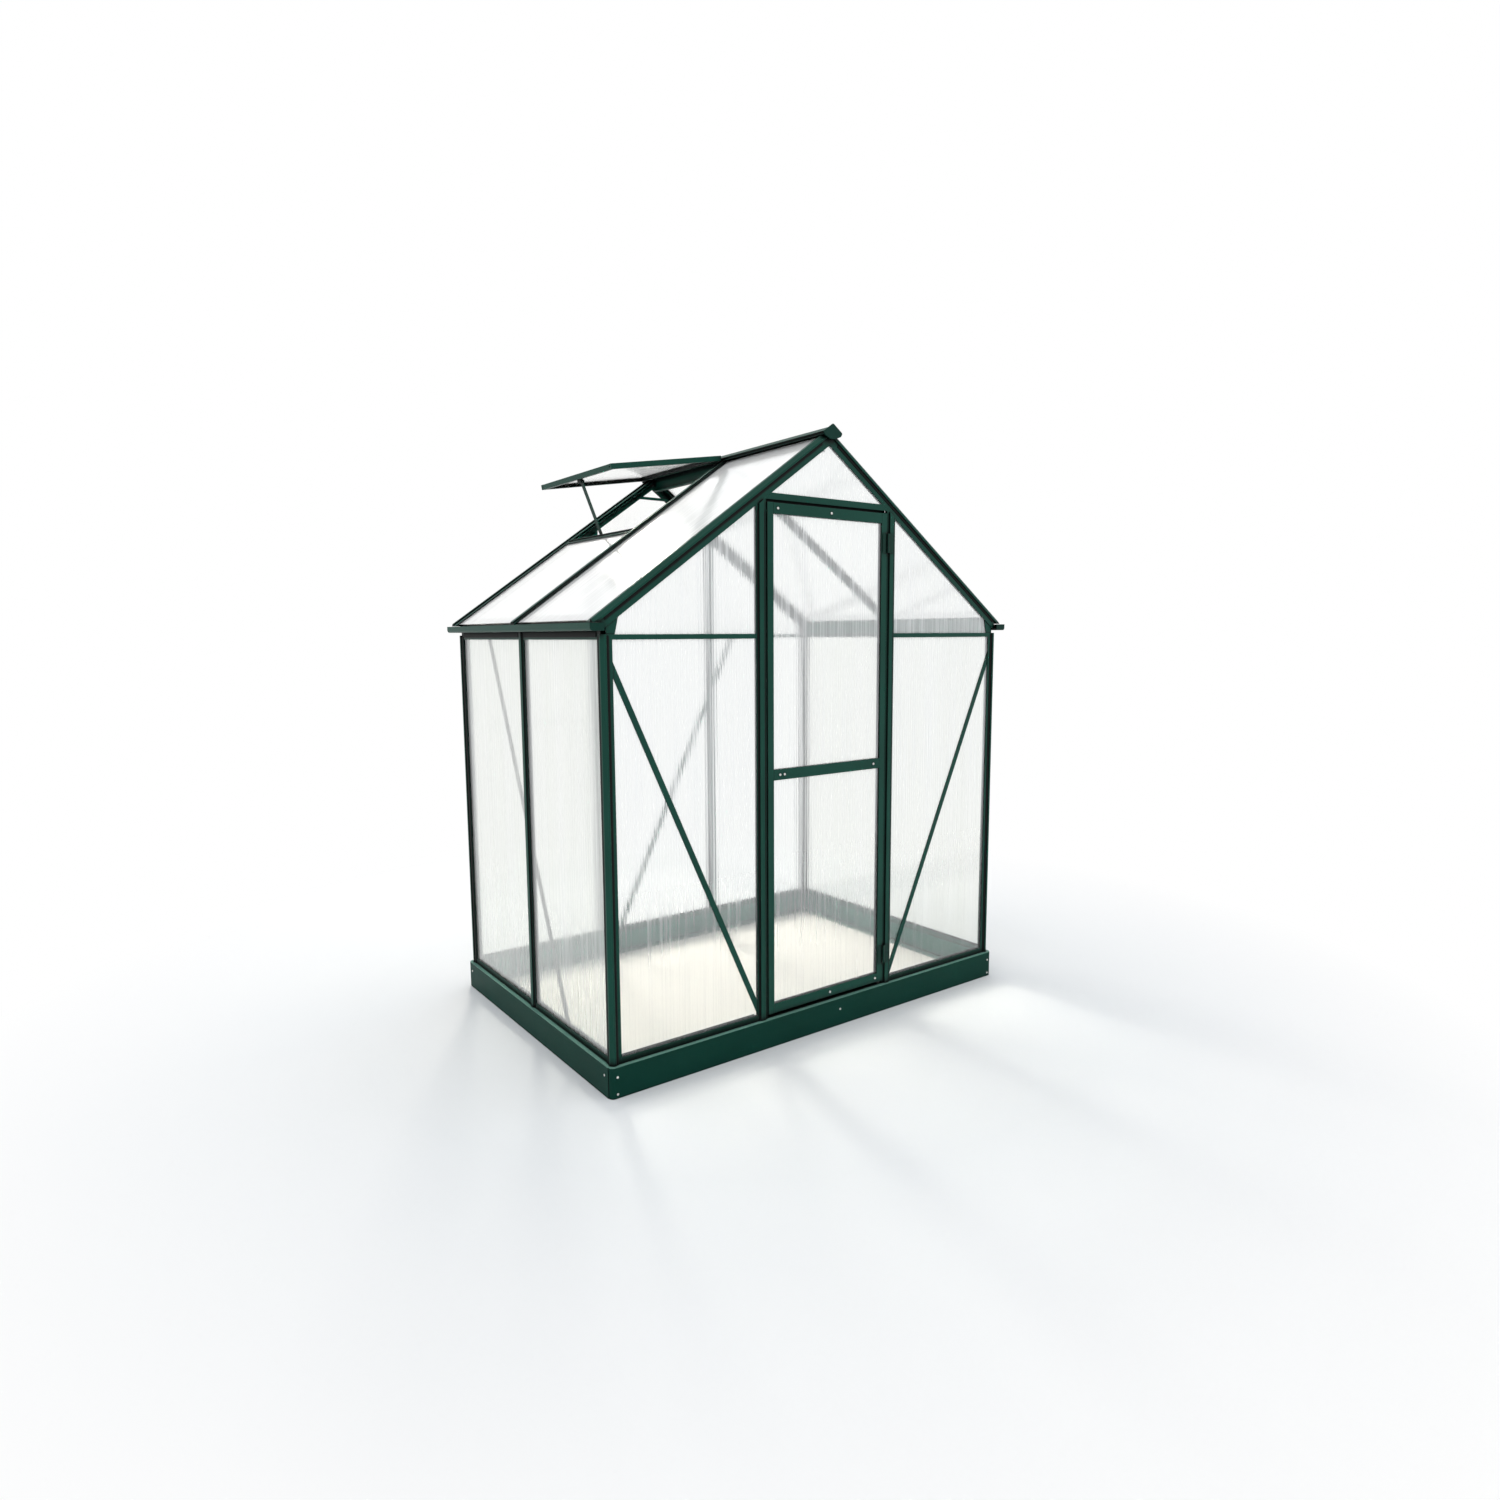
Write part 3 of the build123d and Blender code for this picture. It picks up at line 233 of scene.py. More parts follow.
    def turned(self, normal: Socket) -> Socket:
        """Turn a normal into the piece's own axes.

        Args:
            normal: Normal to read.

        Returns:
            The turned normal.
        """
        turn = self.add("ShaderNodeVectorTransform", vector_type="NORMAL", convert_from="WORLD",
                        convert_to="OBJECT")
        self.link(normal, turn.inputs[0])
        return turn.outputs[0]

    def rise(self, normal: Socket) -> Socket:
        """Return how far a normal looks upwards on the piece, 1 for straight up and 0 for level."""
        return self.axes(self.turned(normal)).outputs["Z"]

    def dot(self, first: Socket, second: Socket) -> Socket:
        """Multiply two vectors.

        Args:
            first: One vector.
            second: The other.

        Returns:
            Their dot product.
        """
        node = self.add("ShaderNodeVectorMath", operation="DOT_PRODUCT")
        self.link(first, node.inputs[0])
        self.link(second, node.inputs[1])
        return node.outputs["Value"]

    def principled(self) -> bpy.types.Node:
        """Add the main shader and join it to the output.

        Returns:
            The shader.
        """
        shader = self.add("ShaderNodeBsdfPrincipled")
        self.link(shader.outputs["BSDF"], self.output.inputs["Surface"])
        return shader

    def mix(self, factor: Socket, first: bpy.types.Node, second: bpy.types.Node) -> None:
        """Mix two shaders and join them to the output.

        Args:
            factor: 0 gives the first shader, 1 the second.
            first: Shader node.
            second: Shader node.
        """
        node = self.add("ShaderNodeMixShader")
        self.link(factor, node.inputs["Fac"])
        self.link(first.outputs[0], node.inputs[1])
        self.link(second.outputs[0], node.inputs[2])
        self.link(node.outputs["Shader"], self.output.inputs["Surface"])


@dataclass(frozen=True)
class PowderCoat:
    """Satin powder coat on metal.

    Two close greens cloud into each other over a fine pebbled skin. Upper edges carry a painted highlight with
    some edge wear, ledges a painted highlight, grooves painted shade, and faces that look inwards are painted
    lighter and greener as painted light.
    """

    name: str
    deep: Colour
    light: Colour
    # Painted highlight along upward edges and on level ledges, with some edge wear.
    wear_and_highlight: Colour = (0.060, 0.200, 0.160)
    # Painted shade in grooves and recesses.
    painted_groove_shade: Colour = (0.0002, 0.0016, 0.0012)
    # Painted light: faces that look towards the middle are painted lighter and greener.
    painted_inward_light: Colour = (0.010, 0.120, 0.085)
    roughness: Span = (0.34, 0.46)
    specular: float = 0.16
    cloud_scale: float = 3.5
    cloud_weight: float = 0.7
    speck_scale: float = 420.0
    pebble_scale: float = 900.0
    pebble_depth: float = 0.00006
    edge_radius: float = 0.0014
    edge_share: float = 0.8
    edge_range: Span = (0.99, 0.85)
    upward_range: Span = (0.1, 0.5)
    level_edge_share: float = 0.25
    ledge_highlight_share: float = 0.35
    ledge_highlight_range: Span = (0.93, 0.99)
    painted_inward_light_share: float = 0.5
    painted_inward_light_range: Span = (-0.2, -0.4)
    # Reach and range of the painted shade in grooves.
    groove_shade_reach: float = 0.03
    groove_shade_range: Span = (0.74, 0.98)

    def build(self) -> bpy.types.Material:
        """Grow the node tree.

        Returns:
            The finished material.
        """
        graph = Graph(bpy.data.materials.new(self.name))
        place = graph.place()
        cloud = graph.noise(place, self.cloud_scale, 3.0)
        speck = graph.noise(place, self.speck_scale)
        mixed = graph.math("ADD", graph.math("MULTIPLY", cloud, self.cloud_weight),
                           graph.math("MULTIPLY", speck, 1.0 - self.cloud_weight))
        bevel = graph.add("ShaderNodeBevel", samples=4)
        bevel.inputs["Radius"].default_value = self.edge_radius
        rounded = bevel.outputs["Normal"]
        # Painted shade: ambient occlusion darkens the coat in grooves and recesses.
        groove_shade = graph.add("ShaderNodeAmbientOcclusion", samples=6)
        groove_shade.inputs["Distance"].default_value = self.groove_shade_reach
        unshaded_share = graph.remap(groove_shade.outputs["AO"], *self.groove_shade_range, 0.0, 1.0)
        coat = graph.blend(graph.spread(mixed), self.deep, self.light)
        # Painted light: faces that look towards the middle are painted lighter and greener.
        lined = graph.blend(self.painted_inward_light_mask(graph, place), coat, self.painted_inward_light)
        # Painted highlight along upward edges and on level ledges, with some edge wear.
        coat_with_highlight = graph.blend(self.highlight_and_wear_share(graph, rounded, speck), lined, self.wear_and_highlight)
        shader = graph.principled()
        shader.inputs["Specular IOR Level"].default_value = self.specular
        graph.link(graph.blend(unshaded_share, self.painted_groove_shade, coat_with_highlight), shader.inputs["Base Color"])
        graph.link(graph.spread(speck, *self.roughness), shader.inputs["Roughness"])
        pebbles = graph.noise(place, self.pebble_scale, 1.0)
        graph.link(graph.bump(pebbles, self.pebble_depth, rounded), shader.inputs["Normal"])
        return graph.owner

    def painted_inward_light_mask(self, graph: Graph, place: Socket) -> Socket:
        """Say how far a face is painted lighter and greener as painted light: faces that look towards the
        middle are.

        Args:
            graph: Node tree to add to.
            place: Object coordinates of the piece.

        Returns:
            The share, 0 to 1.
        """
        level = graph.add("ShaderNodeVectorMath", operation="MULTIPLY")
        level.inputs[1].default_value = (1.0, 1.0, 0.0)
        graph.link(place, level.inputs[0])
        flat = graph.turned(graph.add("ShaderNodeNewGeometry").outputs["True Normal"])
        return graph.remap(graph.dot(level.outputs[0], flat), *self.painted_inward_light_range, 0.0, self.painted_inward_light_share)

    def highlight_and_wear_share(self, graph: Graph, rounded: Socket, speck: Socket) -> Socket:
        """Say how far the coat is painted pale: a painted highlight with some edge wear along edges that look
        upwards, and a painted highlight on level ledges.

        Args:
            graph: Node tree to add to.
            rounded: Normal with the edges rounded over.
            speck: Fine noise that breaks the painted highlight and the wear up.

        Returns:
            The share, 0 to 1.
        """
        flat = graph.add("ShaderNodeNewGeometry").outputs["True Normal"]
        bent = graph.remap(graph.dot(rounded, flat), *self.edge_range, 0.0, self.edge_share)
        upward_highlight = graph.remap(graph.rise(rounded), *self.upward_range, self.level_edge_share, 1.0)
        edge = graph.math("MULTIPLY", bent, upward_highlight)
        ledge_highlight = graph.remap(graph.rise(flat), *self.ledge_highlight_range, 0.0, self.ledge_highlight_share)
        return graph.math("MULTIPLY", graph.math("MAXIMUM", edge, ledge_highlight), graph.spread(speck, 0.8, 1.0))


@dataclass(frozen=True)
class Grained:
    """Finish with a slow change of tone and a fine grain in its gloss and its skin."""

    name: str
    deep: Colour
    light: Colour
    roughness: Span
    cloud_scale: float
    grain_scale: float
    grain_depth: float
    specular: float
    metallic: float

    def build(self) -> bpy.types.Material:
        """Grow the node tree.

        Returns:
            The finished material.
        """
        graph = Graph(bpy.data.materials.new(self.name))
        place = graph.place()
        cloud = graph.noise(place, self.cloud_scale, 3.0)
        grain = graph.noise(place, self.grain_scale)
        shader = graph.principled()
        shader.inputs["Specular IOR Level"].default_value = self.specular
        shader.inputs["Metallic"].default_value = self.metallic
        graph.link(graph.blend(graph.spread(cloud), self.deep, self.light), shader.inputs["Base Color"])
        graph.link(graph.spread(grain, *self.roughness), shader.inputs["Roughness"])
        graph.link(graph.bump(grain, self.grain_depth), shader.inputs["Normal"])
        return graph.owner


@dataclass(frozen=True)
class MouldedPlastic(Grained):
    """Matt moulded plastic or rubber with a faint grain."""

    roughness: Span = (0.5, 0.66)
    cloud_scale: float = 12.0
    grain_scale: float = 1500.0
    grain_depth: float = 0.00008
    specular: float = 0.15
    metallic: float = 0.0


@dataclass(frozen=True)
class BrightSteel(Grained):
    """Zinc-plated or plain steel, slightly uneven in tone and finish."""

    roughness: Span = (0.22, 0.4)
    cloud_scale: float = 180.0
    grain_scale: float = 2600.0
    grain_depth: float = 0.00004
    specular: float = 0.5
    metallic: float = 1.0


@dataclass(frozen=True)
class TwinWall:
    """Clear twin-wall sheet.

    The flutes bend what lies behind sideways, and the outer face has a thin white bloom, thinner low down.
    """

    name: str
    axis: FluteAxis
    outer_plane: float
    tint: Colour = (0.990, 0.995, 0.988)
    clean: Colour = (0.998, 0.999, 0.996)
    shade: Colour = (0.965, 0.970, 0.970)
    bloom: float = 0.27
    rib_bloom: float = 0.06
    rib_range: Span = (0.7, 1.0)
    streak_bloom: float = 0.3
    streak_range: Span = (0.45, 0.7)
    broad_scale: float = 9.0
    ripple_scale: float = 55.0
    streak_scale: float = 120.0
    low_share: float = 0.8
    low_range: Span = (0.3, 0.95)
    blur: Span = (0.015, 0.06)
    streak_blur: float = 0.08
    flute: float = 0.0105
    flute_weight: float = 0.15
    ripple_weight: float = 2.0
    wave_depth: float = 0.00045
    stretch: float = 0.012
    skin: float = 0.0003
    index: float = 1.34

    def build(self) -> bpy.types.Material:
        """Grow the node tree; lamps shine through the sheet as through a plain pane.

        Returns:
            The finished material.
        """
        graph = Graph(bpy.data.materials.new(self.name))
        place = graph.place()
        parts = graph.axes(place)
        across, height = parts.outputs[self.axis.value], parts.outputs["Z"]
        line = graph.add("ShaderNodeCombineXYZ")
        graph.link(across, line.inputs["X"])
        graph.link(graph.math("MULTIPLY", height, self.stretch), line.inputs["Y"])
        broad = graph.noise(line.outputs[0], self.broad_scale)
        ripple = graph.noise(line.outputs[0], self.ripple_scale, roughness=0.6)
        fine = graph.noise(line.outputs[0], self.streak_scale, roughness=0.6)
        streak = graph.remap(fine, *self.streak_range, 0.0, 1.0)
        wave = graph.math("SINE", graph.math("MULTIPLY", across, 2.0 * math.pi / self.flute))
        rib = graph.math("MULTIPLY", graph.remap(wave, *self.rib_range, 0.0, 1.0),
                         graph.remap(broad, 0.35, 0.65, 0.3, 1.0))
        lined = graph.math("ADD", graph.math("MULTIPLY", rib, self.rib_bloom),
                           graph.math("MULTIPLY", streak, self.streak_bloom))
        share = graph.remap(height, *self.low_range, self.low_share, 1.0)
        cover = graph.math("MULTIPLY", graph.math("ADD", lined, self.bloom),
                           graph.math("MULTIPLY", share, self.outer_face(graph, place)))
        shape = graph.math("ADD", graph.math("MULTIPLY", wave, self.flute_weight),
                           graph.math("MULTIPLY", ripple, self.ripple_weight))
        blur = graph.math("ADD", graph.math("MULTIPLY", streak, self.streak_blur),
                          graph.spread(broad, *self.blur))
        shader = graph.principled()
        shader.inputs["IOR"].default_value = self.index
        graph.link(graph.blend(broad, self.tint, self.clean), shader.inputs["Base Color"])
        graph.link(blur, shader.inputs["Roughness"])
        graph.link(graph.math("SUBTRACT", 1.0, cover), shader.inputs["Transmission Weight"])
        graph.link(graph.bump(shape, self.wave_depth), shader.inputs["Normal"])
        pane = graph.add("ShaderNodeBsdfTransparent")
        pane.inputs["Color"].default_value = (*self.shade, 1.0)
        graph.mix(graph.add("ShaderNodeLightPath").outputs["Is Shadow Ray"], shader, pane)
        return graph.owner

    def outer_face(self, graph: Graph, place: Socket) -> Socket:
        """Mark the outermost face of the sheet, seen from outside.

        Args:
            graph: Node tree to add to.
            place: Object coordinates of the piece.

        Returns:
            1 on that face, 0 on the three faces behind it.
        """
        shape = graph.add("ShaderNodeNewGeometry")
        reach = graph.dot(place, graph.turned(shape.outputs["True Normal"]))
        outside = graph.math("GREATER_THAN", reach, self.outer_plane - self.skin)
        return graph.math("MULTIPLY", outside, graph.math("SUBTRACT", 1.0, shape.outputs["Backfacing"]))


def outer_plane(node: str) -> float:
    """Measure how far the outermost face of a sheet lies from the middle of the base, square to the face.

    Args:
        node: CAD node name of the sheet.

    Returns:
        The distance in metres.
    """
    faces = frame["nodes"][node].data.polygons
    broad = max(face.area for face in faces)
    return max(face.center.dot(face.normal) for face in faces if face.area > broad / 2)


def middle_of(node: str) -> Vector:
    """Return the middle of a CAD node's box."""
    low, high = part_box(node)
    return (low + high) / 2


class NodeDresser:
    """Gives each CAD node the finish of its material slot."""

    def __init__(self) -> None:
        """Build every finish once."""
        self.by_words = {words: sheet.build() for words, sheet in self.sheets().items()}
        self.by_slot = {slot: paint.build() for slot, paint in self.paints().items()}

    def sheets(self) -> dict[tuple[str, ...], TwinWall]:
        """List the kinds of sheet.

        Returns:
            Each kind, under words that the names of its nodes hold; the first match counts.
        """
        along_x, along_y = FluteAxis.ALONG_X, FluteAxis.ALONG_Y
        gable = TwinWall("gable_twin_wall", along_x, outer_plane("sheets_front_low"), bloom=0.38,
                         streak_bloom=0.24, low_share=0.3)
        door = TwinWall("door_twin_wall", along_x, outer_plane("door_sheets"), bloom=0.33,
                        streak_bloom=0.25, low_share=0.45)
        # The side sheets carry a darker, yellower tint than the other sheets: painted shade on the side walls.
        side = TwinWall("side_twin_wall", along_y, outer_plane("sheets_left"), tint=(0.925, 0.936, 0.898),
                        bloom=0.33, streak_bloom=0.14, wave_depth=0.0002)
        roof = TwinWall("roof_twin_wall", along_y, outer_plane("roof_sheets_right"), bloom=0.6,
                        streak_bloom=0.1, wave_depth=0.00015)
        vent = TwinWall("vent_twin_wall", along_y, outer_plane("vent_sheet"), bloom=0.25,
                        streak_bloom=0.1, wave_depth=0.00004, index=1.02)
        return {("roof",): roof, ("vent",): vent, ("door",): door,
                ("front", "rear"): gable, ("left", "right"): side}

    def paints(self) -> dict[str, PowderCoat | Grained]:
        """List every other finish.

        Returns:
            Each finish, under its material slot in the record.
        """
        return {
            "frame_green": PowderCoat("frame_powder_coat", (0.0018, 0.043, 0.029), (0.0040, 0.060, 0.041)),
            "base_green": PowderCoat("base_powder_coat", (0.0011, 0.030, 0.021), (0.0024, 0.040, 0.028),
                                     wear_and_highlight=(0.200, 0.400, 0.330), painted_inward_light=(0.014, 0.160, 0.112),
                                     roughness=(0.38, 0.5), specular=0.07, edge_radius=0.0035,
                                     ledge_highlight_share=0.7, painted_inward_light_share=1.0, groove_shade_reach=0.006),
            "fitting_green": PowderCoat("fitting_paint", (0.0010, 0.028, 0.019), (0.0020, 0.037, 0.025),
                                        roughness=(0.3, 0.42), edge_radius=0.0005),
            "cap_green": MouldedPlastic("cap_moulding", (0.0010, 0.026, 0.018), (0.0020, 0.034, 0.024)),
            "magnet_black": MouldedPlastic("magnet_strip", (0.010, 0.010, 0.010), (0.022, 0.022, 0.021)),
            "strike_steel": BrightSteel("strike_plate", (0.42, 0.42, 0.41), (0.56, 0.56, 0.55)),
        }

    def finish_for(self, node: str, slot: str) -> bpy.types.Material:
        """Choose the material of one node.

        Args:
            node: CAD node name.
            slot: Its material slot in the record.

        Returns:
            The material.
        """
        if slot != "sheet_clear":
            return self.by_slot[slot]
        return next(sheet for words, sheet in self.by_words.items() if any(word in node for word in words))

    def dress(self) -> None:
        """Replace the material of every CAD node."""
        slots = {row["node"]: row["material_slot"] for row in frame["record"]["subparts"]}
        for node, piece in frame["nodes"].items():
            piece.data.materials.clear()
            piece.data.materials.append(self.finish_for(node, slots[node]))
            log.info("dressed %s as %s", node, slots[node])


def block(size: Point, middle: Point) -> bpy.types.Object:
    """Start a piece from a plain block.

    Args:
        size: Its three sizes.
        middle: Its middle.

    Returns:
        The block, its origin at the world's origin.
    """
    bpy.ops.object.select_all(action="DESELECT")
    bpy.ops.mesh.primitive_cube_add(size=1.0, location=middle)
    bpy.ops.transform.resize(value=size)
    bpy.ops.object.transform_apply(location=True, rotation=True, scale=True)
    return bpy.context.object


def copy_to(pattern: bpy.types.Object, turn: Matrix) -> bpy.types.Object:
    """Copy a modelled pattern, with a mesh of its own, to its place.

    Args:
        pattern: Piece to copy.
        turn: Where the copy goes.

    Returns:
        The copy.
    """
    copy = pattern.copy()
    copy.data = pattern.data.copy()
    bpy.context.collection.objects.link(copy)
    copy.data.transform(turn)
    return copy


def gather(pieces: list[bpy.types.Object], name: str, body: str,
           finish: bpy.types.Material) -> None:
    """Join pieces into one object, dress it and let it ride on a body.

    Args:
        pieces: Pieces to join.
        name: Name of the joined piece.
        body: Body that carries it.
        finish: Its material.
    """
    bpy.ops.object.select_all(action="DESELECT")
    for piece in pieces:
        piece.select_set(True)
    bpy.context.view_layer.objects.active = pieces[0]
    bpy.ops.object.join()
    joined = bpy.context.object
    bpy.ops.object.shade_smooth_by_angle(angle=SMOOTH_ANGLE)
    joined.name = name
    joined.data.materials.clear()
    joined.data.materials.append(finish)
    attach(joined, body)
    log.info("placed %d copies as %s", len(pieces), name)


@dataclass
class ScrewSet:
    """Pan-head screws of one body, modelled once and copied to each place."""

    name: str
    body: str
    radius: float = 0.0042
    rise: float = 0.0026
    round_share: float = 0.6
    rim_share: float = 0.28
    recess_share: float = 0.45

    def model(self) -> bpy.types.Object:
        """Model one screw head that stands on the ground plane, facing up.

        Returns:
            The screw head.
        """
        bpy.ops.object.select_all(action="DESELECT")
        bpy.ops.mesh.primitive_cylinder_add(vertices=16, radius=self.radius, depth=self.rise,
                                            location=(0.0, 0.0, self.rise / 2))
        screw = bpy.context.object
        bpy.ops.object.transform_apply(location=True, rotation=True, scale=True)
        bpy.ops.object.mode_set(mode="EDIT")
        bpy.ops.mesh.select_mode(type="FACE")
        self.select_top(screw)
        bpy.ops.mesh.bevel(offset=self.rise * self.round_share, segments=3, affect="EDGES")
        self.select_top(screw)
        bpy.ops.mesh.inset(thickness=self.radius * self.rim_share)
        sunk = (0.0, 0.0, -self.rise * self.recess_share)
        bpy.ops.mesh.extrude_region_move(TRANSFORM_OT_translate={"value": sunk})
        bpy.ops.object.mode_set(mode="OBJECT")
        return screw

    def select_top(self, screw: bpy.types.Object) -> None:
        """Select only the face that looks straight up at the top of the screw head.

        Args:
            screw: Screw head that is being edited.
        """
        bpy.ops.mesh.select_all(action="DESELECT")
        bpy.ops.object.mode_set(mode="OBJECT")
        top = max(face.center.z for face in screw.data.polygons if face.normal.z > 0.9)
        for face in screw.data.polygons:
            face.select = face.normal.z > 0.9 and abs(face.center.z - top) < 1e-6
        bpy.ops.object.mode_set(mode="EDIT")

    def place(self, spots: list[tuple[Point, Facing]], finish: bpy.types.Material) -> None:
        """Copy the screw head to every spot and join the copies.

        Args:
            spots: Place and facing of each screw, in metres.
            finish: Material of the screws.
        """
        pattern = self.model()
        copies = []
        for spot, facing in spots:
            turn = Vector(facing.value).to_track_quat("Z", "Y").to_matrix().to_4x4()
            copies.append(copy_to(pattern, Matrix.Translation(Vector(spot)) @ turn))
        bpy.data.objects.remove(pattern)
        gather(copies, self.name, self.body, finish)


@dataclass
class Fasteners:
    """Where the visible screws of the base and the door sit."""

    base_rows: Span = (0.014, 0.071)
    base_inset: float = 0.024
    base_middle: Span = (0.05, 0.062)
    door_top: tuple[float, ...] = (-0.235, 0.006)
    door_middle: tuple[float, ...] = (-0.227, -0.207, 0.222)
    door_bottom: tuple[float, ...] = (0.010, 0.243)

    def build(self) -> None:
        """Model and place every group of screws."""
        steel = BrightSteel("screw_zinc", (0.62, 0.62, 0.60), (0.82, 0.82, 0.80)).build()
        ScrewSet("screws_base", "frame", rise=0.001).place(self.base_spots(), steel)
        ScrewSet("screws_door", "door", radius=0.0046).place(self.door_spots(), steel)

    def base_spots(self) -> list[tuple[Point, Facing]]:
        """Work out the screws on the outside of the base: two rows at each corner and one under the door.

        Returns:
            Place and facing of each screw.
        """
        low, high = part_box("base_front")
        side_low, side_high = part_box("base_left")
        spots: list[tuple[Point, Facing]] = []
        for height in self.base_rows:
            for x in (low.x + self.base_inset, high.x - self.base_inset):
                spots.append(((x, low.y, height), Facing.FRONT))
                spots.append(((x, -low.y, height), Facing.REAR))
        for y in (side_low.y + self.base_inset, side_high.y - self.base_inset):
            spots.append(((side_low.x, y, self.base_rows[1]), Facing.LEFT))
            spots.append(((-side_low.x, y, self.base_rows[1]), Facing.RIGHT))
        spots.append(((self.base_middle[0], low.y, self.base_middle[1]), Facing.FRONT))
        return spots

    def door_spots(self) -> list[tuple[Point, Facing]]:
        """Work out the screws through the front of the door's rails.

        Returns:
            Place and facing of each screw.
        """
        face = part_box("door_rail_top")[0].y
        rows = (("door_rail_top", self.door_top), ("door_rail_middle", self.door_middle),
                ("door_rail_bottom", self.door_bottom))
        return [((x, face, middle_of(rail).z), Facing.FRONT) for rail, places in rows for x in places]


@dataclass(frozen=True)
class Roof:
    """Outer plane of the roof, which falls to both sides from one line above the ridge."""

    height: float
    pitch: float

    @classmethod
    def from_frame(cls) -> "Roof":
        """Measure the outermost face of the front rafters.

        Returns:
            The roof.
        """
        faces = frame["nodes"]["rafters_front"].data.polygons
        slopes = [face for face in faces if face.normal.x > 0.3 and face.normal.z > 0.7]
        outer = max(slopes, key=lambda face: face.center.dot(face.normal))
        return cls(outer.center.dot(outer.normal) / outer.normal.z, math.atan2(outer.normal.x, outer.normal.z))

    def out(self, side: int) -> Vector:
        """Return the direction square out of one slope, -1 for the left and 1 for the right."""
        return Vector((side * math.sin(self.pitch), 0.0, math.cos(self.pitch)))

    def down(self, side: int) -> Vector:
        """Return the direction down one slope, -1 for the left and 1 for the right."""
        return Vector((side * math.cos(self.pitch), 0.0, -math.sin(self.pitch)))

    def at(self, side: int, fall: float, rise: float, y: float) -> Vector:
        """Find a point by the roof.

        Args:
            side: -1 for the left slope, 1 for the right.
            fall: Distance down the slope.
            rise: Distance out from the slope.
            y: Place along the ridge.

        Returns:
            The point.
        """
        return Vector((0.0, y, self.height)) + self.down(side) * fall + self.out(side) * rise


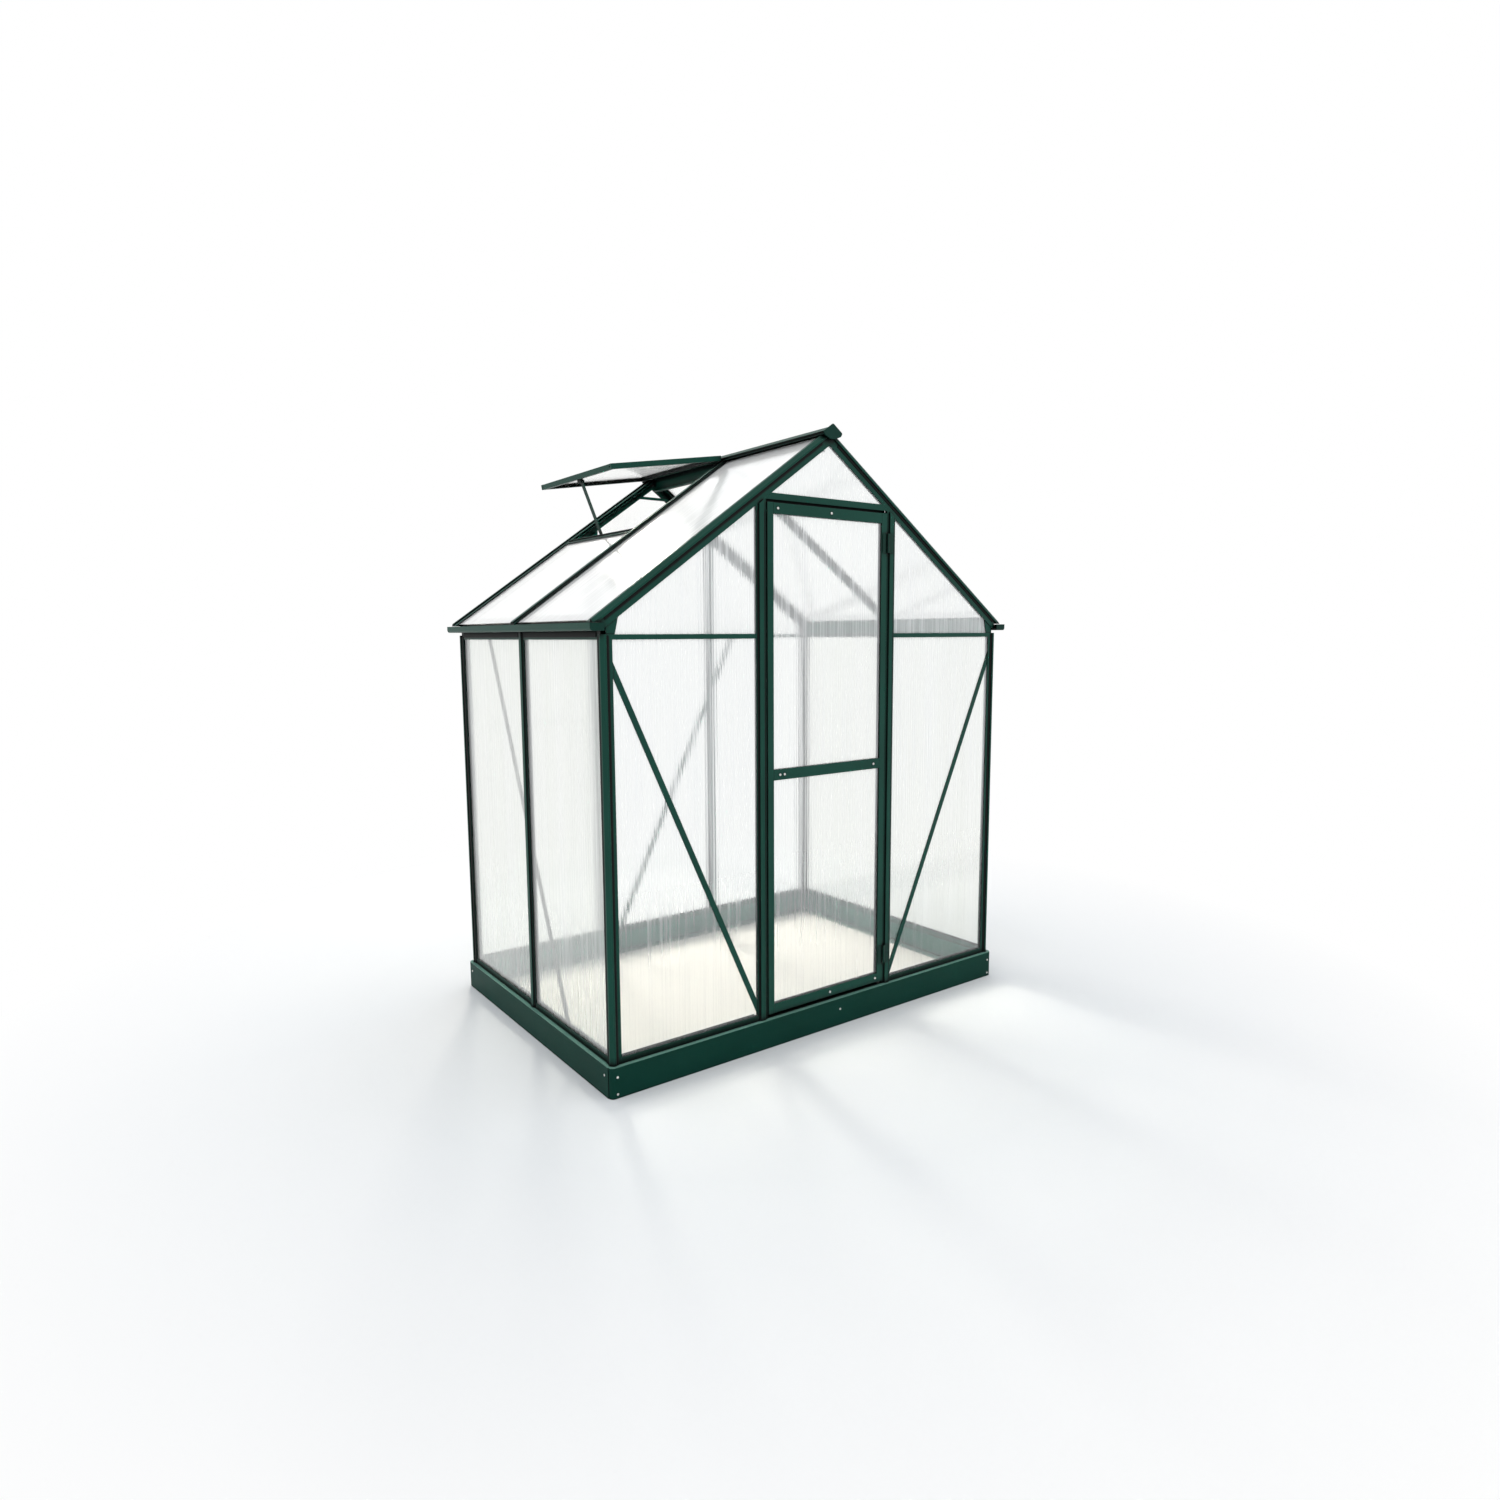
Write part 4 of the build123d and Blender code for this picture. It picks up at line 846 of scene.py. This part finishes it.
@dataclass
class DarkLipStrips:
    """Dark strips that lie on the lips of posts, rafters and bars, close beside their noses; the wide strips
    on the side-wall lips of the corner posts and under the gutters are painted shade.
    """

    roof: Roof
    rise: float = 0.0024
    round_share: float = 0.8
    lip_depth: float = 0.006
    corner_start: float = 0.0179
    corner_width: float = 0.010
    # Width of the strips of painted shade on the side-wall lips and under the gutters.
    shade_strip_width: float = 0.018
    bar_start: float = 0.010
    bar_width: float = 0.0065
    slope_top: float = 0.062
    slope_foot: float = 1.115
    gutter_gap: float = 0.0007
    post_gap: float = 0.004
    stud_gap: float = 0.003
    foot_gap: float = 0.002
    head_gap: float = 0.006
    tall_head_gap: float = 0.045

    def build(self) -> None:
        """Model each width of strip, lay every run and join them."""
        finish = MouldedPlastic("lip_strip_rubber", (0.0012, 0.0022, 0.0019), (0.0030, 0.0046, 0.0040)).build()
        pieces = []
        for width, runs in ((self.corner_width, self.gable_runs() + self.rafter_runs()),
                            # The wide strips on the side-wall lips and under the gutters are painted shade.
                            (self.shade_strip_width, self.shaded_side_runs() + self.gutter_shade_runs()),
                            (self.bar_width, self.bar_runs() + self.roof_bar_runs())):
            pattern = self.model(width)
            pieces += [self.lay(pattern, *run) for run in runs]
            bpy.data.objects.remove(pattern)
        gather(pieces, "dark_lip_strips", "frame", finish)

    def model(self, width: float) -> bpy.types.Object:
        """Model one metre of strip along Z, its back on the XZ plane and its rounded face towards +Y.

        Args:
            width: Width of the strip.

        Returns:
            The strip.
        """
        strip = block((width, self.rise, 1.0), (0.0, self.rise / 2, 0.5))
        bpy.ops.object.mode_set(mode="EDIT")
        bpy.ops.mesh.select_mode(type="EDGE")
        bpy.ops.mesh.select_all(action="DESELECT")
        bpy.ops.object.mode_set(mode="OBJECT")
        for edge in strip.data.edges:
            ends = [strip.data.vertices[index].co for index in edge.vertices]
            edge.select = all(end.y > self.rise / 2 for end in ends) and abs(ends[0].z - ends[1].z) > 0.5
        bpy.ops.object.mode_set(mode="EDIT")
        bpy.ops.mesh.bevel(offset=self.rise * self.round_share, segments=3, affect="EDGES")
        bpy.ops.object.mode_set(mode="OBJECT")
        return strip

    def lay(self, pattern: bpy.types.Object, start: Vector, end: Vector, outward: Vector) -> bpy.types.Object:
        """Copy a strip between two points of a lip.

        Args:
            pattern: One metre of strip.
            start: One end of the strip's middle line.
            end: The other end.
            outward: Direction the lip looks in.

        Returns:
            The laid strip.
        """
        along = end - start
        across = outward.cross(along.normalized())
        turn = Matrix((across, outward, along)).transposed().to_4x4()
        return copy_to(pattern, Matrix.Translation(start) @ turn)

    def upright(self, node: str, x: float, y: float, outward: Vector, head_gap: float | None = None) -> Run:
        """Work out a vertical run that follows the height of a CAD node.

        Args:
            node: Post or bar that carries the strip.
            x: Place of the strip's middle line.
            y: Place of the strip's middle line.
            outward: Direction the lip looks in.
            head_gap: How far the strip stops below the top of the node, if not the usual gap.

        Returns:
            Both ends and the direction.
        """
        low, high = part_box(node)
        top = high.z - (self.head_gap if head_gap is None else head_gap)
        return Vector((x, y, low.z + self.foot_gap)), Vector((x, y, top)), outward

    def sloped(self, side: int, rise: float, y: float, outward: Vector) -> Run:
        """Work out a run down a roof slope.

        Args:
            side: -1 for the left slope, 1 for the right.
            rise: Distance out from the roof's outer plane.
            y: Place along the ridge.
            outward: Direction the lip looks in.

        Returns:
            Both ends and the direction.
        """
        top, foot = (self.roof.at(side, fall, rise, y) for fall in (self.slope_top, self.slope_foot))
        return top, foot, outward

    def corners(self) -> list[tuple[str, int, int, float, float]]:
        """Find the four corner posts.

        Returns:
            Each post with its side, its end and the place of its outer corner.
        """
        rows = []
        for end, along in (("front", -1), ("rear", 1)):
            for side, across in (("left", -1), ("right", 1)):
                low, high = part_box(f"post_{end}_{side}")
                rows.append((f"post_{end}_{side}", across, along, low.x if across < 0 else high.x,
                             low.y if along < 0 else high.y))
        return rows

    def gable_runs(self) -> list[Run]:
        """Work out the runs on the gable lips of the four corner posts.

        Returns:
            The runs.
        """
        middle = self.corner_start + self.corner_width / 2
        return [self.upright(node, x - across * middle, y - along * self.lip_depth, Vector((0, along, 0)))
                for node, across, along, x, y in self.corners()]

    def shaded_side_runs(self) -> list[Run]:
        """Work out the runs of painted shade on the side-wall lips of the four corner posts.

        Returns:
            The runs.
        """
        middle = self.corner_start + self.shade_strip_width / 2
        return [self.upright(node, x - across * self.lip_depth, y - along * middle, Vector((across, 0, 0)))
                for node, across, along, x, y in self.corners()]

    def gutter_shade_runs(self) -> list[Run]:
        """Work out the level runs of painted shade under the gutters, between the corner posts and the wall
        studs.

        Returns:
            The runs.
        """
        stud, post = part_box("wall_studs")[1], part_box("post_front_right")[1]
        height = stud.z - self.shade_strip_width / 2 - self.gutter_gap
        near, far = stud.y + self.stud_gap, -post.y - self.post_gap
        runs = []
        for side in (-1, 1):
            x = side * (post.x - self.lip_depth)
            for start, end in ((-far, -near), (near, far)):
                runs.append((Vector((x, start, height)), Vector((x, end, height)), Vector((side, 0, 0))))
        return runs

    def rafter_runs(self) -> list[Run]:
        """Work out the runs under the gable noses of the rafters, and on the roof side away from the vent.

        Returns:
            The runs.
        """
        runs = []
        middle = self.corner_start + self.corner_width / 2
        for node, along in (("rafters_front", -1), ("rafters_rear", 1)):
            low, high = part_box(node)
            face = low.y if along < 0 else high.y
            for side in (-1, 1):
                runs.append(self.sloped(side, -middle, face - along * self.lip_depth, Vector((0, along, 0))))
                if along < 0 or side > 0:
                    out = self.roof.out(side)
                    runs.append(self.sloped(side, -self.lip_depth, face - along * middle, out))
        return runs

    def bar_runs(self) -> list[Run]:
        """Work out the runs on the wall studs, jambs and rear posts; the door's hinge side has none.

        Returns:
            The runs.
        """
        runs = []
        middle = self.bar_start + self.bar_width / 2
        low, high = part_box("wall_studs")
        jamb = middle_of("jamb_right").x
        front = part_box("jamb_left")[0].y + self.lip_depth
        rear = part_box("rear_posts")[1].y - self.lip_depth
        for shift in (-middle, middle):
            for across, x in ((-1, low.x), (1, high.x)):
                wall = x - across * self.lip_depth
                post = across * jamb + shift
                runs.append(self.upright("wall_studs", wall, shift, Vector((across, 0, 0))))
                runs.append(self.upright("rear_posts", post, rear, Vector((0, 1, 0)), self.tall_head_gap))
                if across < 0 or shift > 0:
                    runs.append(self.upright("jamb_left", post, front, Vector((0, -1, 0)), self.tall_head_gap))
        return runs

    def roof_bar_runs(self) -> list[Run]:
        """Work out the runs on the middle roof bars, away from the vent.

        Returns:
            The runs.
        """
        middle = self.bar_start + self.bar_width / 2
        return [self.sloped(side, -self.lip_depth, shift, self.roof.out(side))
                for side, shift in ((-1, -middle), (1, -middle), (1, middle))]


@dataclass
class RidgeEndPlates:
    """Four plates that close the wings of the ridge over the ends of the rafters."""

    roof: Roof
    near: float = 0.0031
    far: float = 0.02466
    rise: float = 0.0065
    lap: float = 0.0004
    end_gap: float = 0.0001
    thickness: float = 0.002
    edge_break: float = 0.0001

    def span(self) -> Span:
        """Return where a plate starts and ends along the ridge: from inside the rafters to the ridge's end."""
        return -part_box("rafters_front")[1].y - self.lap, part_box("ridge_beam")[1].y - self.end_gap

    def build(self, finish: bpy.types.Material) -> None:
        """Model one plate and lay it flush into both wings at both ends.

        Args:
            finish: Material of the plates.
        """
        pattern = self.model()
        plates = []
        for side in (-1, 1):
            along, out = self.roof.down(side), self.roof.out(side)
            turn = Matrix((along, out.cross(along), out)).transposed().to_4x4()
            for end in (-1, 1):
                spot = self.roof.at(side, (self.near + self.far) / 2, self.rise, end * sum(self.span()) / 2)
                plates.append(copy_to(pattern, Matrix.Translation(spot) @ turn))
        bpy.data.objects.remove(pattern)
        gather(plates, "ridge_end_plates", "frame", finish)

    def model(self) -> bpy.types.Object:
        """Model one plate, its top on the ground plane and its edges broken.

        Returns:
            The plate.
        """
        start, end = self.span()
        plate = block((self.far - self.near, end - start, self.thickness), (0.0, 0.0, -self.thickness / 2))
        bpy.ops.object.mode_set(mode="EDIT")
        bpy.ops.mesh.select_all(action="SELECT")
        bpy.ops.mesh.bevel(offset=self.edge_break, segments=1, affect="EDGES")
        bpy.ops.object.mode_set(mode="OBJECT")
        return plate


@dataclass(frozen=True)
class Lamp:
    """One round soft lamp."""

    name: str
    place: Point
    target: Point
    size: float
    power: float
    colour: Colour
    mirrored: bool = True

    def hang(self) -> None:
        """Hang the lamp and aim it at its target."""
        data = bpy.data.lights.new(self.name, "AREA")
        data.shape = "DISK"
        data.size = self.size
        data.energy = self.power
        data.color = self.colour
        lamp = bpy.data.objects.new(self.name, data)
        lamp.location = self.place
        aim = Vector(self.target) - Vector(self.place)
        lamp.rotation_euler = aim.to_track_quat("-Z", "Y").to_euler()
        lamp.visible_glossy = self.mirrored
        bpy.context.collection.objects.link(lamp)


@dataclass
class Studio:
    """Pale floor, soft light and the photo's viewpoint."""

    eye: Point = (-2.2389, -3.1629, 1.4665)
    yaw: float = 36.451
    pitch: float = 6.977
    roll: float = -0.304
    lens: float = 22.4654
    floor_radius: float = 60.0
    floor_drop: float = 0.0006
    floor_fade: Span = (1.5, 2.9)
    floor_tones: tuple[Colour, Colour] = ((0.760, 0.780, 0.800), (0.785, 0.800, 0.812))
    # Painted light: the floor inside the base is lighter and warmer.
    painted_inside_light: Colour = (0.945, 0.935, 0.905)
    inside_light_soft: float = 0.05
    fill: Colour = (0.96, 0.98, 1.0)
    white: Colour = (1.0, 1.0, 1.0)

    def build(self) -> None:
        """Make floor, world, lamps and camera."""
        self.floor()
        self.world()
        for lamp in (
            Lamp("key_lamp", (0.5, 3.4, 3.6), (0.0, -0.6, 0.2), 0.6, 80.0, (1.0, 0.93, 0.82), mirrored=False),
            Lamp("rear_lamp", (4.2, 6.0, 7.2), (-0.3, 0.0, 1.8), 4.4, 40.0, (0.93, 0.97, 1.0), mirrored=False),
            Lamp("overhead_lamp", (-0.6, -0.8, 6.0), (0.0, 0.0, 0.5), 5.0, 20.0, self.white),
        ):
            lamp.hang()
        self.camera()
        bpy.context.scene.view_settings.view_transform = "Standard"

    def floor(self) -> None:
        """Make the floor: painted for the lamps, and for the eye white beyond the object's shadow."""
        bpy.ops.object.select_all(action="DESELECT")
        bpy.ops.mesh.primitive_circle_add(vertices=96, radius=self.floor_radius, fill_type="NGON",
                                          location=(0.0, 0.0, -self.floor_drop))
        ground = bpy.context.object
        ground.name = "studio_floor"
        bpy.ops.object.transform_apply(location=True, rotation=True, scale=True)
        graph = Graph(bpy.data.materials.new("studio_floor"))
        place = graph.place()
        tone = graph.blend(graph.noise(place, 1.5), *self.floor_tones)
        paint = graph.add("ShaderNodeBsdfDiffuse")
        # Painted light: the floor inside the base is painted lighter and warmer.
        graph.link(graph.blend(self.inside_light_share(graph, place), tone, self.painted_inside_light), paint.inputs["Color"])
        length = graph.add("ShaderNodeVectorMath", operation="LENGTH")
        graph.link(place, length.inputs[0])
        fade = graph.remap(length.outputs["Value"], *self.floor_fade, 0.0, 1.0)
        seen = graph.math("MULTIPLY", fade, self.seen_ray(graph))
        graph.mix(seen, paint, graph.add("ShaderNodeEmission"))
        ground.data.materials.append(graph.owner)

    def inside_light_share(self, graph: Graph, place: Socket) -> Socket:
        """Mark the part of the floor inside the base, painted a little lighter and warmer as painted light.

        Args:
            graph: Node tree to add to.
            place: Object coordinates of the floor.

        Returns:
            1 inside, 0 outside.
        """
        low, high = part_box("base_front")
        parts = graph.axes(place)
        shares = []
        for axis, reach in (("X", high.x), ("Y", -low.y)):
            away = graph.math("ABSOLUTE", parts.outputs[axis])
            shares.append(graph.remap(away, reach, reach - self.inside_light_soft, 0.0, 1.0))
        return graph.math("MINIMUM", *shares)

    def seen_ray(self, graph: Graph) -> Socket:
        """Tell rays that show a surface to the eye, directly, mirrored or through a sheet.

        Args:
            graph: Node tree to add to.

        Returns:
            1 for such rays, 0 for rays that only carry light.
        """
        path = graph.add("ShaderNodeLightPath")
        straight = graph.math("MAXIMUM", path.outputs["Is Camera Ray"], path.outputs["Is Glossy Ray"])
        return graph.math("MAXIMUM", straight, path.outputs["Is Transmission Ray"])

    def world(self) -> None:
        """Make the world: white where it is seen, a cool even fill where it lights."""
        world = bpy.data.worlds.new("studio")
        bpy.context.scene.world = world
        graph = Graph(world)
        fill, white = graph.add("ShaderNodeBackground"), graph.add("ShaderNodeBackground")
        fill.inputs["Color"].default_value = (*self.fill, 1.0)
        white.inputs["Color"].default_value = (*self.white, 1.0)
        graph.mix(self.seen_ray(graph), fill, white)

    def camera(self) -> None:
        """Stand the camera where the photo was taken from."""
        yaw, pitch, roll = (math.radians(angle) for angle in (self.yaw, self.pitch, self.roll))
        ahead = Vector((math.sin(yaw) * math.cos(pitch), math.cos(yaw) * math.cos(pitch), -math.sin(pitch)))
        level = Vector((math.cos(yaw), -math.sin(yaw), 0.0))
        above = level.cross(ahead)
        right = level * math.cos(roll) + above * math.sin(roll)
        up = above * math.cos(roll) - level * math.sin(roll)
        data = bpy.data.cameras.new("viewpoint")
        data.sensor_width = 36.0
        data.lens = self.lens
        data.clip_end = 200.0
        camera = bpy.data.objects.new("viewpoint", data)
        turn = Matrix((right, up, -ahead)).transposed()
        camera.matrix_world = Matrix.Translation(Vector(self.eye)) @ turn.to_4x4()
        bpy.context.collection.objects.link(camera)
        bpy.context.scene.camera = camera


def main() -> None:
    """Dress the frame, add its fasteners, dark lip strips and plates, set the studio and set the light
    bounces.
    """
    logging.basicConfig(level=logging.INFO, format="%(message)s")
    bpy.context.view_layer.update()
    dresser = NodeDresser()
    dresser.dress()
    roof = Roof.from_frame()
    Fasteners().build()
    DarkLipStrips(roof).build()
    RidgeEndPlates(roof).build(dresser.by_slot["frame_green"])
    Studio().build()
    for limit in ("transparent_max_bounces", "transmission_bounces", "glossy_bounces", "max_bounces"):
        setattr(bpy.context.scene.cycles, limit, LIGHT_BOUNCES)


if __name__ == "__main__":
    main()
